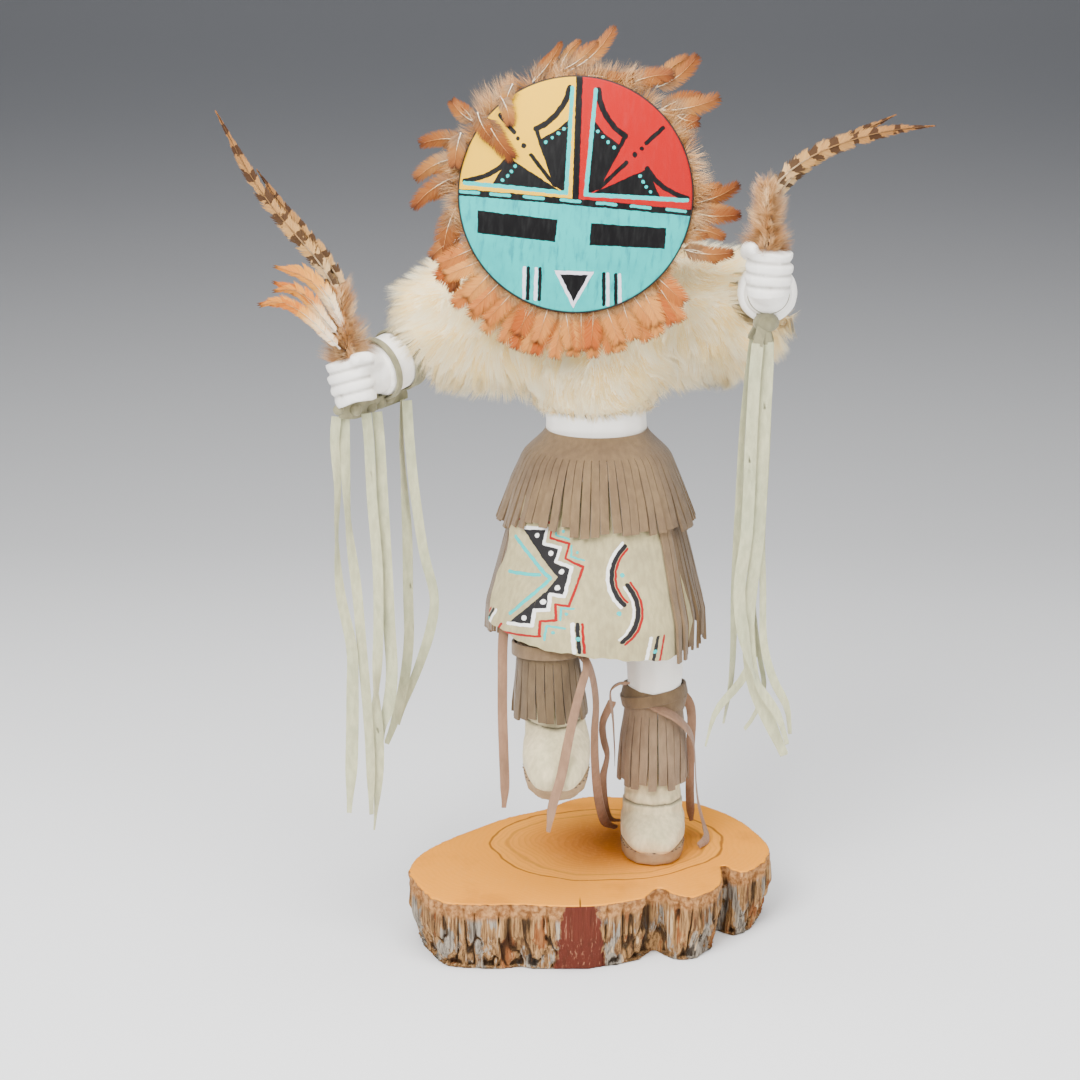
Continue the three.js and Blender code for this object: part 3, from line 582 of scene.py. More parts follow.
@dataclass(frozen=True)
class Cedar:
    """The slab: shredded grey-brown bark round an oiled orange top with growth rings, with painted shade in the bark's
    crevices and a painted shadow on the top.
    """

    heart: Row = (0.0105, 0.0095)
    heart_radius: float = 0.0585
    top: float = 0.0355
    bared: Row = (-0.005, 0.011)

    def top_wood(self, g: Graph, place: Socket, parts: Sequence[Socket]) -> Socket:
        """Returns the colour of the sawn and oiled top, darkened smoothly towards its heart under the doll as a painted
        shadow.
        """
        flat = g.scaled(g.vector("SUBTRACT", place, (*self.heart, 0)), (1, 1.2, 0))
        sway = g.minus(g.noise(place, 17, 3), 0.5)
        radius = g.plus(g.number("LENGTH", flat), g.times(sway, 0.022))
        uneven = g.plus(g.times(radius, 330), g.times(g.noise(place, 30, 2), 3))
        beat = g.math("FRACT", uneven)
        line = g.times(g.step(beat, 0.3, 0.92), g.rest(g.step(beat, 0.92, 1.0)))
        # Painted shadow of the doll: the top darkens smoothly towards the heart.
        wood = g.mix(g.step(radius, 0.012, self.heart_radius), "c87624", "f09e30")
        inside = g.rest(g.step(radius, self.heart_radius - 0.001, self.heart_radius))
        wood = g.mix(inside, "f09a26", wood)
        wood = g.mix(g.times(line, g.plus(0.05, g.times(inside, 0.1))), wood, "8a4416")
        for at, width, share in ((self.heart_radius, 0.0011, 0.75), (self.heart_radius - 0.009, 0.0016, 0.3)):
            gap = g.math("ABSOLUTE", g.minus(radius, at))
            mark = g.rest(g.step(gap, 0.0002, width))
            wood = g.mix(g.times(mark, share), wood, "6e3a14")
        grain = g.noise(g.scaled(place, (1, 0.4, 1)), 600, 3)
        wood = g.mix(g.times(g.step(grain, 0.45, 0.8), 0.2), wood, "f0a85a")
        stain = g.step(g.noise(place, 26, 4), 0.55, 0.75)
        wood = g.mix(g.times(stain, 0.3), wood, "9c551e")
        check = g.math("ABSOLUTE", g.minus(parts["X"], -0.0052))
        split = g.times(g.rest(g.step(check, 0.0002, 0.0006)),
                       g.rest(g.step(parts["Y"], -0.066, -0.058)))
        return g.mix(g.times(split, 0.85), wood, "3c2010")

    def bark(self, g: Graph, place: Socket, parts: Sequence[Socket]) -> Socket:
        """Returns the colour of the bark, with painted shade in its crevices."""
        shred = g.noise(g.scaled(place, (1, 1, 0.07)), 900, 6, 0.7)
        strand = g.noise(g.scaled(place, (1, 1, 0.06)), 420, 4, 0.6)
        patch = g.plus(g.noise(g.scaled(place, (1, 1, 0.32)), 72, 5, 0.6), g.times(shred, 0.24))
        bark = g.mix(g.step(shred, 0.38, 0.6), "5e412b", "b08656")
        grey = g.mix(g.step(shred, 0.4, 0.6), "625b52", "a0998c")
        bark = g.mix(g.times(g.step(patch, 0.635, 0.66), 0.9), bark, grey)
        bark = g.mix(g.times(g.step(patch, 0.54, 0.5), 0.6), bark, "8c4a22")
        bark = g.mix(g.times(g.step(strand, 0.6, 0.66), 0.7), bark, "dcbb90")
        bark = g.mix(g.times(g.step(strand, 0.4, 0.34), 0.6), bark, "3c281c")
        # Painted shade: the bark's crevices darken almost to black.
        bark = g.mix(g.times(g.step(g.attribute("hollow_shade"), 0.6, 0.95), 0.85), bark, "24180f")
        lean = g.times(g.minus(0.02, parts["Z"]), 0.12)
        across = g.minus(g.math("ABSOLUTE", g.minus(parts["X"], self.bared[0])), lean)
        waver = g.times(g.minus(g.noise(g.scaled(place, (1, 1, 0.8)), 260, 4, 0.6), 0.5), 0.008)
        bared = g.rest(g.step(g.plus(across, waver), self.bared[1] - 0.0015, self.bared[1]))
        bared = g.times(bared, g.rest(g.step(parts["Y"], -0.03, -0.02)))
        plank = g.mix(g.step(shred, 0.56, 0.72), "602c20", "b0785a")
        plank = g.mix(g.times(g.step(strand, 0.46, 0.36), 0.5), plank, "50281a")
        bark = g.mix(bared, bark, plank)
        rim = g.plus(parts["Z"], g.times(patch, 0.008))
        crumb = g.mix(g.step(g.noise(place, 420, 4), 0.35, 0.65), "8a5a32", "c08c58")
        return g.mix(g.times(g.step(rim, 0.0305, 0.0345), g.rest(bared)), bark, crumb)

    def material(self) -> Material:
        """Builds the material."""
        material, g, shader = new_material("cedar slab")
        place = g.object_place()
        parts = g.parts(place)
        on_top = g.step(parts["Z"], self.top - 0.0004, self.top)
        g.feed_all(shader, {
            "Base Color": g.mix(on_top, self.bark(g, place, parts), self.top_wood(g, place, parts)),
            "Roughness": g.minus(0.88, g.times(on_top, 0.48))})
        shred = g.noise(g.scaled(place, (1, 1, 0.08)), 640, 5, 0.65)
        g.feed(g.bump(g.times(shred, g.minus(1.02, on_top)), 0.0014), shader.inputs["Normal"])
        return material


@dataclass(frozen=True)
class MaskPaint:
    """The painted mask: yellow and red brow panels over a turquoise face with plain black features."""

    yellow: str = "ecb400"
    red: str = "a80004"
    turquoise: str = "00b6b0"
    black: str = "060506"
    white: str = "dcd8e2"
    radius: float = 54.7

    def panel(self, painter: Painter, side: float) -> None:
        """Paints one brow panel's wedges, dots and lines; side is -1 on the right brow, 1 on the left."""
        def at(*points: Row) -> list[Row]:
            """Returns points mirrored to this side."""
            return [(side * u, v) for u, v in points]
        painter.patch(at((5.4, 0.6), (9.4, 2.6), (18.4, 23.8), (11, 28.5), (5.6, 30)))
        painter.patch(at((5.6, 30), (11, 28.5), (5.8, 34)))
        painter.patch(at((7, 0.8), (32, 14.2), (38.6, 2.2), (38, 1.4)))
        painter.line(at((6.6, 48.5), (7.6, 43.6), (9.4, 39.4), (12.2, 35.2), (16, 31.2), (20.6, 28.2)), 2.6)
        painter.line(at((20.6, 28.2), (15, 15.6), (9.6, 3.4)), 1.9)
        painter.line(at((31.8, 14.2), (35.4, 9.8), (40, 6.4), (45.4, 4), (51.5, 2.3)), 2.4)
        painter.line(at((22, 16.2), (10.4, 3.6)), 1.9)
        painter.line(at((37.6, 33.5), (30.5, 26)), 2.0)
        painter.dots(at((25.6, 20.2)), 2.5)
        painter.dots(at((28.6, 23.3)), 2.0)
        painter.lay(self.black)
        painter.line(at((5.4, 48.5), (4.5, 0.2), (51.5, 1.4)), 1.9)
        painter.dots(at((7.8, 29.3), (10.3, 27), (12.8, 24.9), (15.8, 22.6)), 1.6)
        painter.dots(at((28.8, 10.6), (30.4, 8.2), (32, 6), (34.2, 3.9)), 1.6)
        painter.lay(self.turquoise)

    def features(self, painter: Painter) -> None:
        """Paints the dividing lines, the eyes, the mouth and the cheek bars."""
        painter.line([(-56, -3), (56, -4.2)], 3.0)
        painter.line([(-2.6, 56), (0, -3.5)], 3.0)
        painter.lay(self.black)
        for x in (-53.4, -39, -23.4, -6.6, 10, 26, 42.4):
            painter.line([(x, -3.1 - x * 0.009), (x + 8.6, -3.3 - x * 0.009)], 1.5)
        painter.lay(self.turquoise)
        bars = ((-21, -19.2, 0.8), (-15.5, -13.7, 0.7), (17.7, 15.8, 1.2), (23.2, 21.3, 1.4))
        painter.patch([(-7.2, -35.4), (11.2, -34.6), (3, -52.2)])
        for x, _, lean in bars:
            painter.line([(x, -35.2), (x + lean, -49.4)], 1.6)
        painter.lay(self.white)
        painter.patch([(-44.5, -10.8), (-7.5, -12.2), (-7.8, -22.4), (-44, -21.2)])
        painter.patch([(8, -12.6), (43, -12), (43, -21.6), (8, -22.6)])
        painter.patch([(-4.4, -37), (8.6, -36.4), (2.9, -49.2)])
        for _, x, lean in bars:
            painter.line([(x, -35.2), (x + lean, -49.4)], 1.6)
        painter.lay(self.black)

    def material(self, centre: Vector, right: Vector, up: Vector) -> Material:
        """Builds the material for a mask at centre, with the directions of its right and its top."""
        material, g, shader = new_material("mask paint")
        place = g.object_place()
        from_centre = g.vector("SUBTRACT", place, tuple(centre))
        across = g.times(g.number("DOT_PRODUCT", from_centre, tuple(right)), 1000)
        height = g.times(g.number("DOT_PRODUCT", from_centre, tuple(up)), 1000)
        plain = g.node("ShaderNodeCombineXYZ", {"X": across, "Y": height}).outputs[0]
        waver = g.node("ShaderNodeTexNoise", {"Vector": plain, "Scale": 0.35, "Detail": 2.0}).outputs["Color"]
        shift = g.scaled(g.vector("SUBTRACT", waver, (0.5, 0.5, 0.5)), (0.9, 0.9, 0))
        drawn = g.vector("ADD", plain, shift)
        streaks = g.noise(g.scaled(plain, (1, 0.22, 1)), 0.42, 5, 0.6)
        clouds = g.noise(plain, 0.08, 4)
        deep = g.mix(g.step(streaks, 0.48, 0.72), self.turquoise, "0a8a8e")
        face = g.mix(g.times(g.step(clouds, 0.42, 0.7), 0.5), deep, "0c9c9c")
        painter = Painter(g, drawn, face)
        painter.patch([(-60, -3), (-1, -3.4), (-2.8, 60), (-60, 60)])
        painter.lay(self.yellow)
        painter.patch([(-1, -3.4), (60, -4.2), (60, 60), (-2.8, 60)])
        painter.lay(self.red)
        for side in (-1.0, 1.0):
            self.panel(painter, side)
        self.features(painter)
        radius = g.number("LENGTH", plain)
        behind = g.number("DOT_PRODUCT", from_centre, tuple(right.cross(up)))
        # Painted shade: the rim's outer edge and its side are dark all round, and the same dark covers the back.
        edge = g.math("MAXIMUM", g.step(radius, self.radius - 1.1, self.radius - 0.6),
                      g.rest(g.step(behind, -0.0012, 0.0)))
        colour = g.mix(edge, painter.colour, "2c2a2a")
        dusty = g.mix(g.times(g.step(streaks, 0.4, 0.9), 0.05), colour, "8d8f8c")
        worn = g.mix(g.times(g.step(g.noise(plain, 0.9, 4, 0.7), 0.72, 0.8), 0.25), dusty, "4a4440")
        g.feed_all(shader, {
            "Base Color": worn,
            "Roughness": g.plus(0.42, g.times(streaks, 0.25)),
            "Normal": g.bump(g.noise(g.scaled(g.object_place(), (1, 1, 0.3)), 420, 4), 0.0001)})
        return material


@dataclass(frozen=True)
class ApronPaint:
    """The pale apron hide with its stepped mountain, paired arcs and hem marks."""

    hide: Suede = Suede("apron hide", "b8ab80", "a59a76", 0.7)
    centre: float = 0.003
    round_mm: float = 46.0
    black: str = "1c1a1b"
    white: str = "f6f4ee"
    red: str = "9c0408"
    turquoise: str = "06b8b4"

    def mountain(self, painter: Painter) -> None:
        """Paints the stepped motif on the doll's right."""
        steps = [
            [(-40, 217.3), (-27, 218.6), (-27.3, 206.4)],
            [(-27.5, 211.4), (-18.4, 210.6), (-19.6, 199.6), (-27.5, 206.4)],
            [(-20, 203.8), (-12.2, 202), (-13.2, 197), (-16.5, 197), (-20, 200)],
            [(-17.2, 198), (-13, 198), (-14, 189.5), (-19.8, 189.5), (-21.9, 189.7)],
            [(-21.9, 190.3), (-19.4, 190.3), (-19.5, 183), (-24.8, 182.6), (-24.8, 186.2)],
            [(-24.8, 186.2), (-24.6, 182.6), (-24.3, 175.4), (-34.4, 174)],
        ]
        for points in steps:
            painter.patch(points)
        painter.lay(self.black)
        painter.line([(-40.5, 217.6), (-26.6, 219), (-27, 211.9), (-18, 211), (-19.3, 204.6), (-11.6, 202.6),
                      (-13.5, 189.2), (-19.4, 189.6), (-19, 182.6), (-24.4, 182), (-24, 174.9), (-35, 173.4)], 1.5)
        painter.dots([(-31.6, 215), (-22.4, 208), (-16, 200.2), (-16.8, 192.8), (-21.6, 186), (-28, 177.6)], 2.3)
        painter.lay(self.white)
        path = [(-47, 221), (-24.2, 222), (-24, 214.9), (-13.8, 213.4), (-15, 206.4), (-6.6, 203), (-11.4, 185),
                (-16.6, 185.4), (-15.6, 178.2), (-21.4, 177.4), (-20.6, 170.4), (-40.5, 168)]
        for points in (path, [(-43.8, 224), (-47.6, 221), (-44.8, 217.4)], [(-38.4, 172), (-40.9, 168), (-37, 164.6)]):
            painter.line(points, 1.15)
        painter.lay(self.red)
        for points in ([(-43, 213), (-20.4, 196.6), (-35, 178)], [(-41.4, 196.4), (-25.6, 197.6)]):
            painter.line(points, 1.6)
        for points in ([(-21.8, 220.4), (-21.2, 216.6), (-14.2, 215.2)], [(-12.6, 212.4), (-12.4, 207.4), (-6.4, 206)],
                       [(-14, 178.4), (-14.2, 183.8), (-9.4, 184)], [(-19, 168.6), (-18.6, 175.6), (-12, 174.8)]):
            painter.line(points, 0.9)
        painter.dots([(-17.4, 218.6), (-9.6, 209.4), (-12, 181.4), (-16, 172.6)], 1.5)
        painter.lay(self.turquoise)

    def arcs(self, painter: Painter) -> None:
        """Paints the two opposed arcs on the doll's left, each a white, a black and a red band."""
        for centre, radius, start, end, bands in (
            ((24.5, 197.5), 20.5, 128, 222, (self.white, self.black, self.red)),
            ((-3.5, 182.5), 21.5, 36, -50, (self.red, self.black, self.white)),
        ):
            for k, colour in enumerate(bands):
                width = (1.5, 2.0, 1.1)[k] if colour == self.white or k == 1 else 1.1
                painter.line(arc(centre, radius - 1.75 * k, start, end), width)
                painter.lay(colour)
        painter.dots([(10.6, 198.8), (8.4, 181)], 2.2)
        painter.lay(self.turquoise)

    def hem_marks(self, painter: Painter) -> None:
        """Paints the three marks along the hem."""
        for foot, head, gap in (((-47.2, 166.6), (-43.4, 177), -1.9), ((-8.4, 163.2), (-9.4, 177), 1.8),
                                ((18.4, 153.6), (20.8, 168), 3.0)):
            for k, colour in enumerate((self.white, self.black, self.red)):
                line = [(foot[0] + gap * k, foot[1]), (head[0] + gap * k, head[1])]
                painter.line(line, 1.1 if colour == self.red else 1.5)
                painter.lay(colour)
            painter.dots([((foot[0] + head[0]) / 2 + gap, (foot[1] + head[1]) / 2)], 2.0)
            painter.lay(self.turquoise)

    def material(self, flatness: float) -> Material:
        """Builds the material for an apron round a waist whose depth is flatness times its width."""
        material, g, shader = new_material(self.hide.name)
        place = g.object_place()
        nap = g.group(NAP, {"Place": place, "Colour": self.hide.colour, "Stain": self.hide.stain,
                            "Stain Share": self.hide.stain_share})
        parts = g.parts(place)
        turn = g.math("ARCTAN2", g.times(parts["Y"], 1 / flatness),
                      g.minus(parts["X"], self.centre))
        across = g.times(g.plus(turn, pi / 2), self.round_mm)
        plain = g.node("ShaderNodeCombineXYZ", {"X": across, "Y": g.times(parts["Z"], 1000)}).outputs[0]
        waver = g.node("ShaderNodeTexNoise", {"Vector": plain, "Scale": 0.4, "Detail": 2.0}).outputs["Color"]
        shift = g.scaled(g.vector("SUBTRACT", waver, (0.5, 0.5, 0.5)), (0.9, 0.9, 0))
        painter = Painter(g, g.vector("ADD", plain, shift), nap.outputs["Colour"])
        self.mountain(painter)
        self.arcs(painter)
        self.hem_marks(painter)
        facing = g.step(parts["Y"], -0.018, -0.014)
        colour = g.mix(facing, painter.colour, nap.outputs["Colour"])
        g.feed_all(shader, {
            "Base Color": colour,
            "Roughness": g.minus(0.93, g.times(painter.cover, 0.35)),
            "Normal": g.bump(nap.outputs["Height"], 0.0003),
            "Sheen Weight": 0.2})
        return material


TAUPE = Suede("kilt suede", "7d664a", "6a5540", 0.7)
# Painted shade and light: darker and lighter copies of the kilt suede, for the raised right cuff and the standing left
# cuff.
SHADED_CUFF_SUEDE = Suede("shaded cuff suede", "6b5840", "5c4a37", 0.7)
LIT_CUFF_SUEDE = Suede("lit cuff suede", "8a735a", "755f4a", 0.7)
PALE = Suede("thong suede", "bfbd98", "a9ad8c", 0.6)
GREEN = Suede("moccasin suede", "d8c8a0", "bfb68e", 0.7, True)
ROSE = Suede("tie suede", "96735a", "846750", 0.6)

FUR = Hair("rabbit fur", ((0.0, "ffe0a0"), (0.35, "ffedbc"), (1.0, "fff8dc")), "ffe8b4", sheen=0.2)
UNDERFUR = Suede("fur skin", "fff0c8", "ffe8b0", 0.5)
DOWN = Hair("down", ((0.0, "70502f"), (0.45, "b9854c"), (1.0, "f0d0a0")), "d8b890", sheen=0.2)
HACKLE = Hair("hackle", ((0.0, "fbf2e0"), (0.35, "f0d2a0"), (0.5, "dc9a40"), (0.9, "c8802c"),
                         (0.97, "2c1a12"), (1.0, "1a100c")), "e0b070")
LOOSE_VANE = Hair("loose feather", ((0.0, "8c7660"), (0.3, "a8845c"), (0.5, "ac763a"),
                                    (0.86, "8e5628"), (1.0, "2c160c")), "c8a488")
RUFF_VANE = Hair("ruff feather", ((0.0, "8c7660"), (0.26, "b89468"), (0.42, "cc8a42"),
                                  (0.9, "c07c38"), (1.0, "331a0e")), "d09a68")
PHEASANT = Hair("barred feather", ((0.0, "dcc49a"), (0.3, "b89058"), (1.0, "8a5a2c")), "e0c098",
                bars=9.0)
QUILL = Hair("quill", ((0.0, "fffaf0"), (0.4, "f6e4c4"), (0.6, "c8925a"), (1.0, "a86c38")),
             "f6ead2", 0.4)
SHAFT = Hair("tail shaft", ((0.0, "e8d4b0"), (0.4, "a07848"), (1.0, "5c3c1e")), "e0c8a0", 0.4)


# ---------------------------------------------------------------- strands and feathers


def strand_template(cuts: int, pointed: bool) -> tuple[np.ndarray, np.ndarray]:
    """Makes one tapering strand, closed at its root, from x, y = -1..1 and z = 0 at its root to 1 at its tip.

    Returns:
        Its vertices and its triangles.
    """
    bm = bmesh.new()
    bmesh.ops.create_cone(bm, cap_ends=True, segments=3, radius1=1, radius2=0, depth=1,
                          matrix=Matrix.Translation((0, 0, 0.5)))
    bmesh.ops.remove_doubles(bm, verts=bm.verts[:], dist=1e-4)
    for k in range(1, cuts + 1):
        geometry = bm.verts[:] + bm.edges[:] + bm.faces[:]
        bmesh.ops.bisect_plane(bm, geom=geometry, plane_co=(0, 0, k / (cuts + 1)), plane_no=(0, 0, 1))
    for vert in bm.verts:
        full = 1 - vert.co.z
        widen = full ** 0.5 / full if full > 0.01 else 1.0
        if pointed and full > 0.99:
            widen = 0.0
        vert.co.x *= widen
        vert.co.y *= widen
    bmesh.ops.remove_doubles(bm, verts=bm.verts[:], dist=1e-4)
    bmesh.ops.triangulate(bm, faces=bm.faces[:])
    bmesh.ops.recalc_face_normals(bm, faces=bm.faces[:])
    bm.verts.index_update()
    verts = np.array([tuple(vert.co) for vert in bm.verts])
    faces = np.array([[vert.index for vert in face.verts] for face in bm.faces])
    bm.free()
    return verts, faces


@dataclass
class Strands:
    """A great many tapering strands, gathered and then made one mesh."""

    cuts: int = 1
    pointed: bool = False
    rows: list[tuple] = field(default_factory=list)

    def add(self, root: Vector, middle: Vector, tip: Vector, wide: Vector, thick: float,
            along: tuple[float, float] = (0.0, 1.0), tint: float = 0.0, slot: int = 0,
            normal: Vector | None = None) -> None:
        """Adds a strand.

        Args:
            root: where it starts.
            middle: the point that it bends towards.
            tip: where it ends.
            wide: its half-width at the root, as a vector across it.
            thick: its half-thickness at the root.
            along: the values of the "along" attribute at its root and its tip.
            tint: the value of its "tint" attribute.
            slot: the number of its material.
            normal: the direction that the whole strand is shaded by, if not by its own sides.
        """
        self.rows.append((*root, *middle, *tip, *wide, thick, *along, tint, slot, *(normal or (0, 0, 0))))

    def mesh(self, name: str) -> Mesh:
        """Builds the mesh of all the strands."""
        verts, faces = strand_template(self.cuts, self.pointed)
        rows = np.array(self.rows)
        root, middle, tip, wide = (rows[:, None, k:k + 3] for k in (0, 3, 6, 9))
        thick = rows[:, None, 12:13]
        t = verts[None, :, 2:3]
        spine = (1 - t) ** 2 * root + 2 * t * (1 - t) * middle + t ** 2 * tip
        tangent = 2 * (1 - t) * (middle - root) + 2 * t * (tip - middle)
        tangent /= np.maximum(np.linalg.norm(tangent, axis=2, keepdims=True), 1e-12)
        size = np.linalg.norm(wide, axis=2, keepdims=True)
        side = wide / np.maximum(size, 1e-12)
        side = side - tangent * (side * tangent).sum(axis=2, keepdims=True)
        side /= np.maximum(np.linalg.norm(side, axis=2, keepdims=True), 1e-12)
        other = np.cross(tangent, side)
        places = spine + side * size * verts[None, :, 0:1] + other * thick * verts[None, :, 1:2]
        count, per = len(rows), len(verts)
        mesh = bpy.data.meshes.new(name)
        mesh.vertices.add(count * per)
        mesh.vertices.foreach_set("co", places.reshape(-1))
        corners = (faces[None] + np.arange(count)[:, None, None] * per).reshape(-1)
        mesh.loops.add(len(corners))
        mesh.loops.foreach_set("vertex_index", corners)
        mesh.polygons.add(len(corners) // 3)
        mesh.polygons.foreach_set("loop_start", np.arange(0, len(corners), 3))
        mesh.polygons.foreach_set("material_index", np.repeat(rows[:, 16].astype(np.int32), len(faces)))
        mesh.update(calc_edges=True)
        along = rows[:, None, 13] * (1 - t[:, :, 0]) + rows[:, None, 14] * t[:, :, 0]
        tint = np.repeat(rows[:, 15], per)
        for label, values in (("along", along.reshape(-1)), ("tint", tint)):
            store(mesh, label, np.asarray(values, dtype=np.float32))
        mesh.shade_smooth()
        if rows[:, 17:].any():
            mesh.normals_split_custom_set_from_vertices(np.repeat(rows[:, 17:20], per, axis=0))
        return mesh


@dataclass
class Feather:
    """One feather: a quill with barbs down both sides, laid along a spine."""

    spine: list[Vector]
    face: Vector
    width: float
    length_share: Callable[[float], float]
    barbs: int = 26
    slant: float = 0.9
    ragged: float = 0.12
    droop: float = 0.1
    barb_width: float = 0.00055
    along: tuple[float, float] = (0.0, 1.0)
    bare: float = 0.06
    close: float = 0.9

    def at(self, share: float) -> tuple[Vector, Vector, Vector]:
        """Returns the place, direction and side direction at a share of the spine."""
        last = len(self.spine) - 1
        place = share * last
        i = min(int(place), last - 1)
        point = self.spine[i].lerp(self.spine[i + 1], place - i)
        ahead = (self.spine[i + 1] - self.spine[i]).normalized()
        return point, ahead, ahead.cross(self.face).normalized()

    def grow(self, strands: Strands, rng: Rng, quill: float = 0.00045) -> None:
        """Adds the feather's barbs, in the first material, and its quill, in the second, to the strands."""
        tint = rng.random()
        last = len(self.spine) - 1
        side = self.at(0.5)[2]
        for i, point in enumerate(self.spine[:-1]):
            size = quill * (1 - 0.75 * i / last)
            lift = self.face * 0.0004
            strands.add(point + lift, self.spine[i + 1] + lift, self.spine[min(i + 2, last)] + lift, side * size, size,
                        (i / last, (i + 2) / last), tint, 1)
        for k in range(self.barbs):
            share = lerp(self.bare, 0.99, k / (self.barbs - 1))
            for hand in (-1, 1):
                point, ahead, across = self.at(share)
                reach = self.width * self.length_share(share) * rng.uniform(1 - self.ragged, 1 + self.ragged)
                lean = self.slant + self.close * share ** 3 + rng.uniform(-0.06, 0.06)
                out = (across * hand * cos(lean) + ahead * sin(lean))
                tip = point + out * reach - self.face * self.droop * reach
                bend = point + (out * 0.5 + across * hand * 0.16) * reach + self.face * 0.05 * reach
                at = lerp(self.along[0], self.along[1], share)
                rise = (self.along[1] - self.along[0]) * reach / max(path_length(self.spine), 1e-6) * 0.5
                shade = (self.face + across * hand * 0.25 + ahead * rng.uniform(-0.25, 0.25)).normalized()
                strands.add(point, bend, tip, ahead * self.barb_width, self.barb_width * 0.35,
                            (at, min(at + rise, 1.0)), min(1.0, max(0.0, tint + rng.uniform(-0.2, 0.2))), 0, shade)


def scatter_on(obj: Object, count: int, rng: np.random.Generator) -> tuple[np.ndarray, np.ndarray]:
    """Returns points spread evenly over a mesh, with the surface normals there."""
    mesh = obj.data
    mesh.calc_loop_triangles()
    corners = np.empty(len(mesh.vertices) * 3)
    mesh.vertices.foreach_get("co", corners)
    corners = corners.reshape(-1, 3)
    index = np.empty(len(mesh.loop_triangles) * 3, dtype=np.int64)
    mesh.loop_triangles.foreach_get("vertices", index)
    a, b, c = (corners[index.reshape(-1, 3)[:, k]] for k in range(3))
    normals = np.cross(b - a, c - a)
    areas = np.linalg.norm(normals, axis=1)
    pick = rng.choice(len(areas), count, p=areas / areas.sum())
    u, v = rng.random((2, count, 1))
    fold = u + v > 1
    u, v = np.where(fold, 1 - u, u), np.where(fold, 1 - v, v)
    points = a[pick] + u * (b - a)[pick] + v * (c - a)[pick]
    return points, normals[pick] / np.maximum(areas[pick], 1e-15)[:, None]


# ---------------------------------------------------------------- suede strips and fringes


@dataclass(frozen=True)
class Strip:
    """A flat suede strip along a route, in millimetres, with changes of width and twist along it."""

    route: tuple[Row, ...]
    width: float = 5.0
    thickness: float = 1.3
    across: Row = (1, 0, 0)
    widths: tuple[Row, ...] = ((0, 1.0), (1, 1.0))
    twists: tuple[Row, ...] = ((0, 0.0), (1, 0.0))
    pointed: float = 0.5

    def path(self, count: int = 40) -> list[Vector]:
        """Returns the points down the middle of the strip."""
        return smooth_path(self.route, count)

    def build(self, name: str) -> Object:
        """Makes the strip's object."""
        points = self.path()
        bm = bmesh.new()
        bmesh.ops.create_grid(bm, x_segments=3, y_segments=len(points) - 1, size=0.5)
        last = len(points) - 1
        frames = []
        across = Vector(self.across)
        for i, point in enumerate(points):
            ahead = (points[min(i + 1, last)] - points[max(i - 1, 0)]).normalized()
            across = (across - ahead * across.dot(ahead)).normalized()
            frames.append((point, ahead, across))
        for vert in bm.verts:
            share = vert.co.y + 0.5
            i = round(share * last)
            point, ahead, across = frames[i]
            size = self.width * MM * read_table(self.widths, share)[0]
            end = ease(share, 1 - 5 / (len(points)), 1.0)
            size *= lerp(1.0, self.pointed, end)
            turn = radians(read_table(self.twists, share)[0])
            out = across.cross(ahead)
            side = across * cos(turn) + out * sin(turn)
            cup = across.cross(ahead) * cos(turn) - across * sin(turn)
            curl = (vert.co.x ** 2 - 0.08) * size * 0.22
            vert.co = point + side * (vert.co.x * size) + cup * curl
        return thickened(name, bm, self.thickness)

    def add_to(self, bm: BMesh) -> None:
        """Adds the strip's mesh to a bmesh."""
        obj = self.build("strip")
        mesh = obj.data
        bm.from_mesh(mesh)
        bpy.data.objects.remove(obj)
        bpy.data.meshes.remove(mesh)


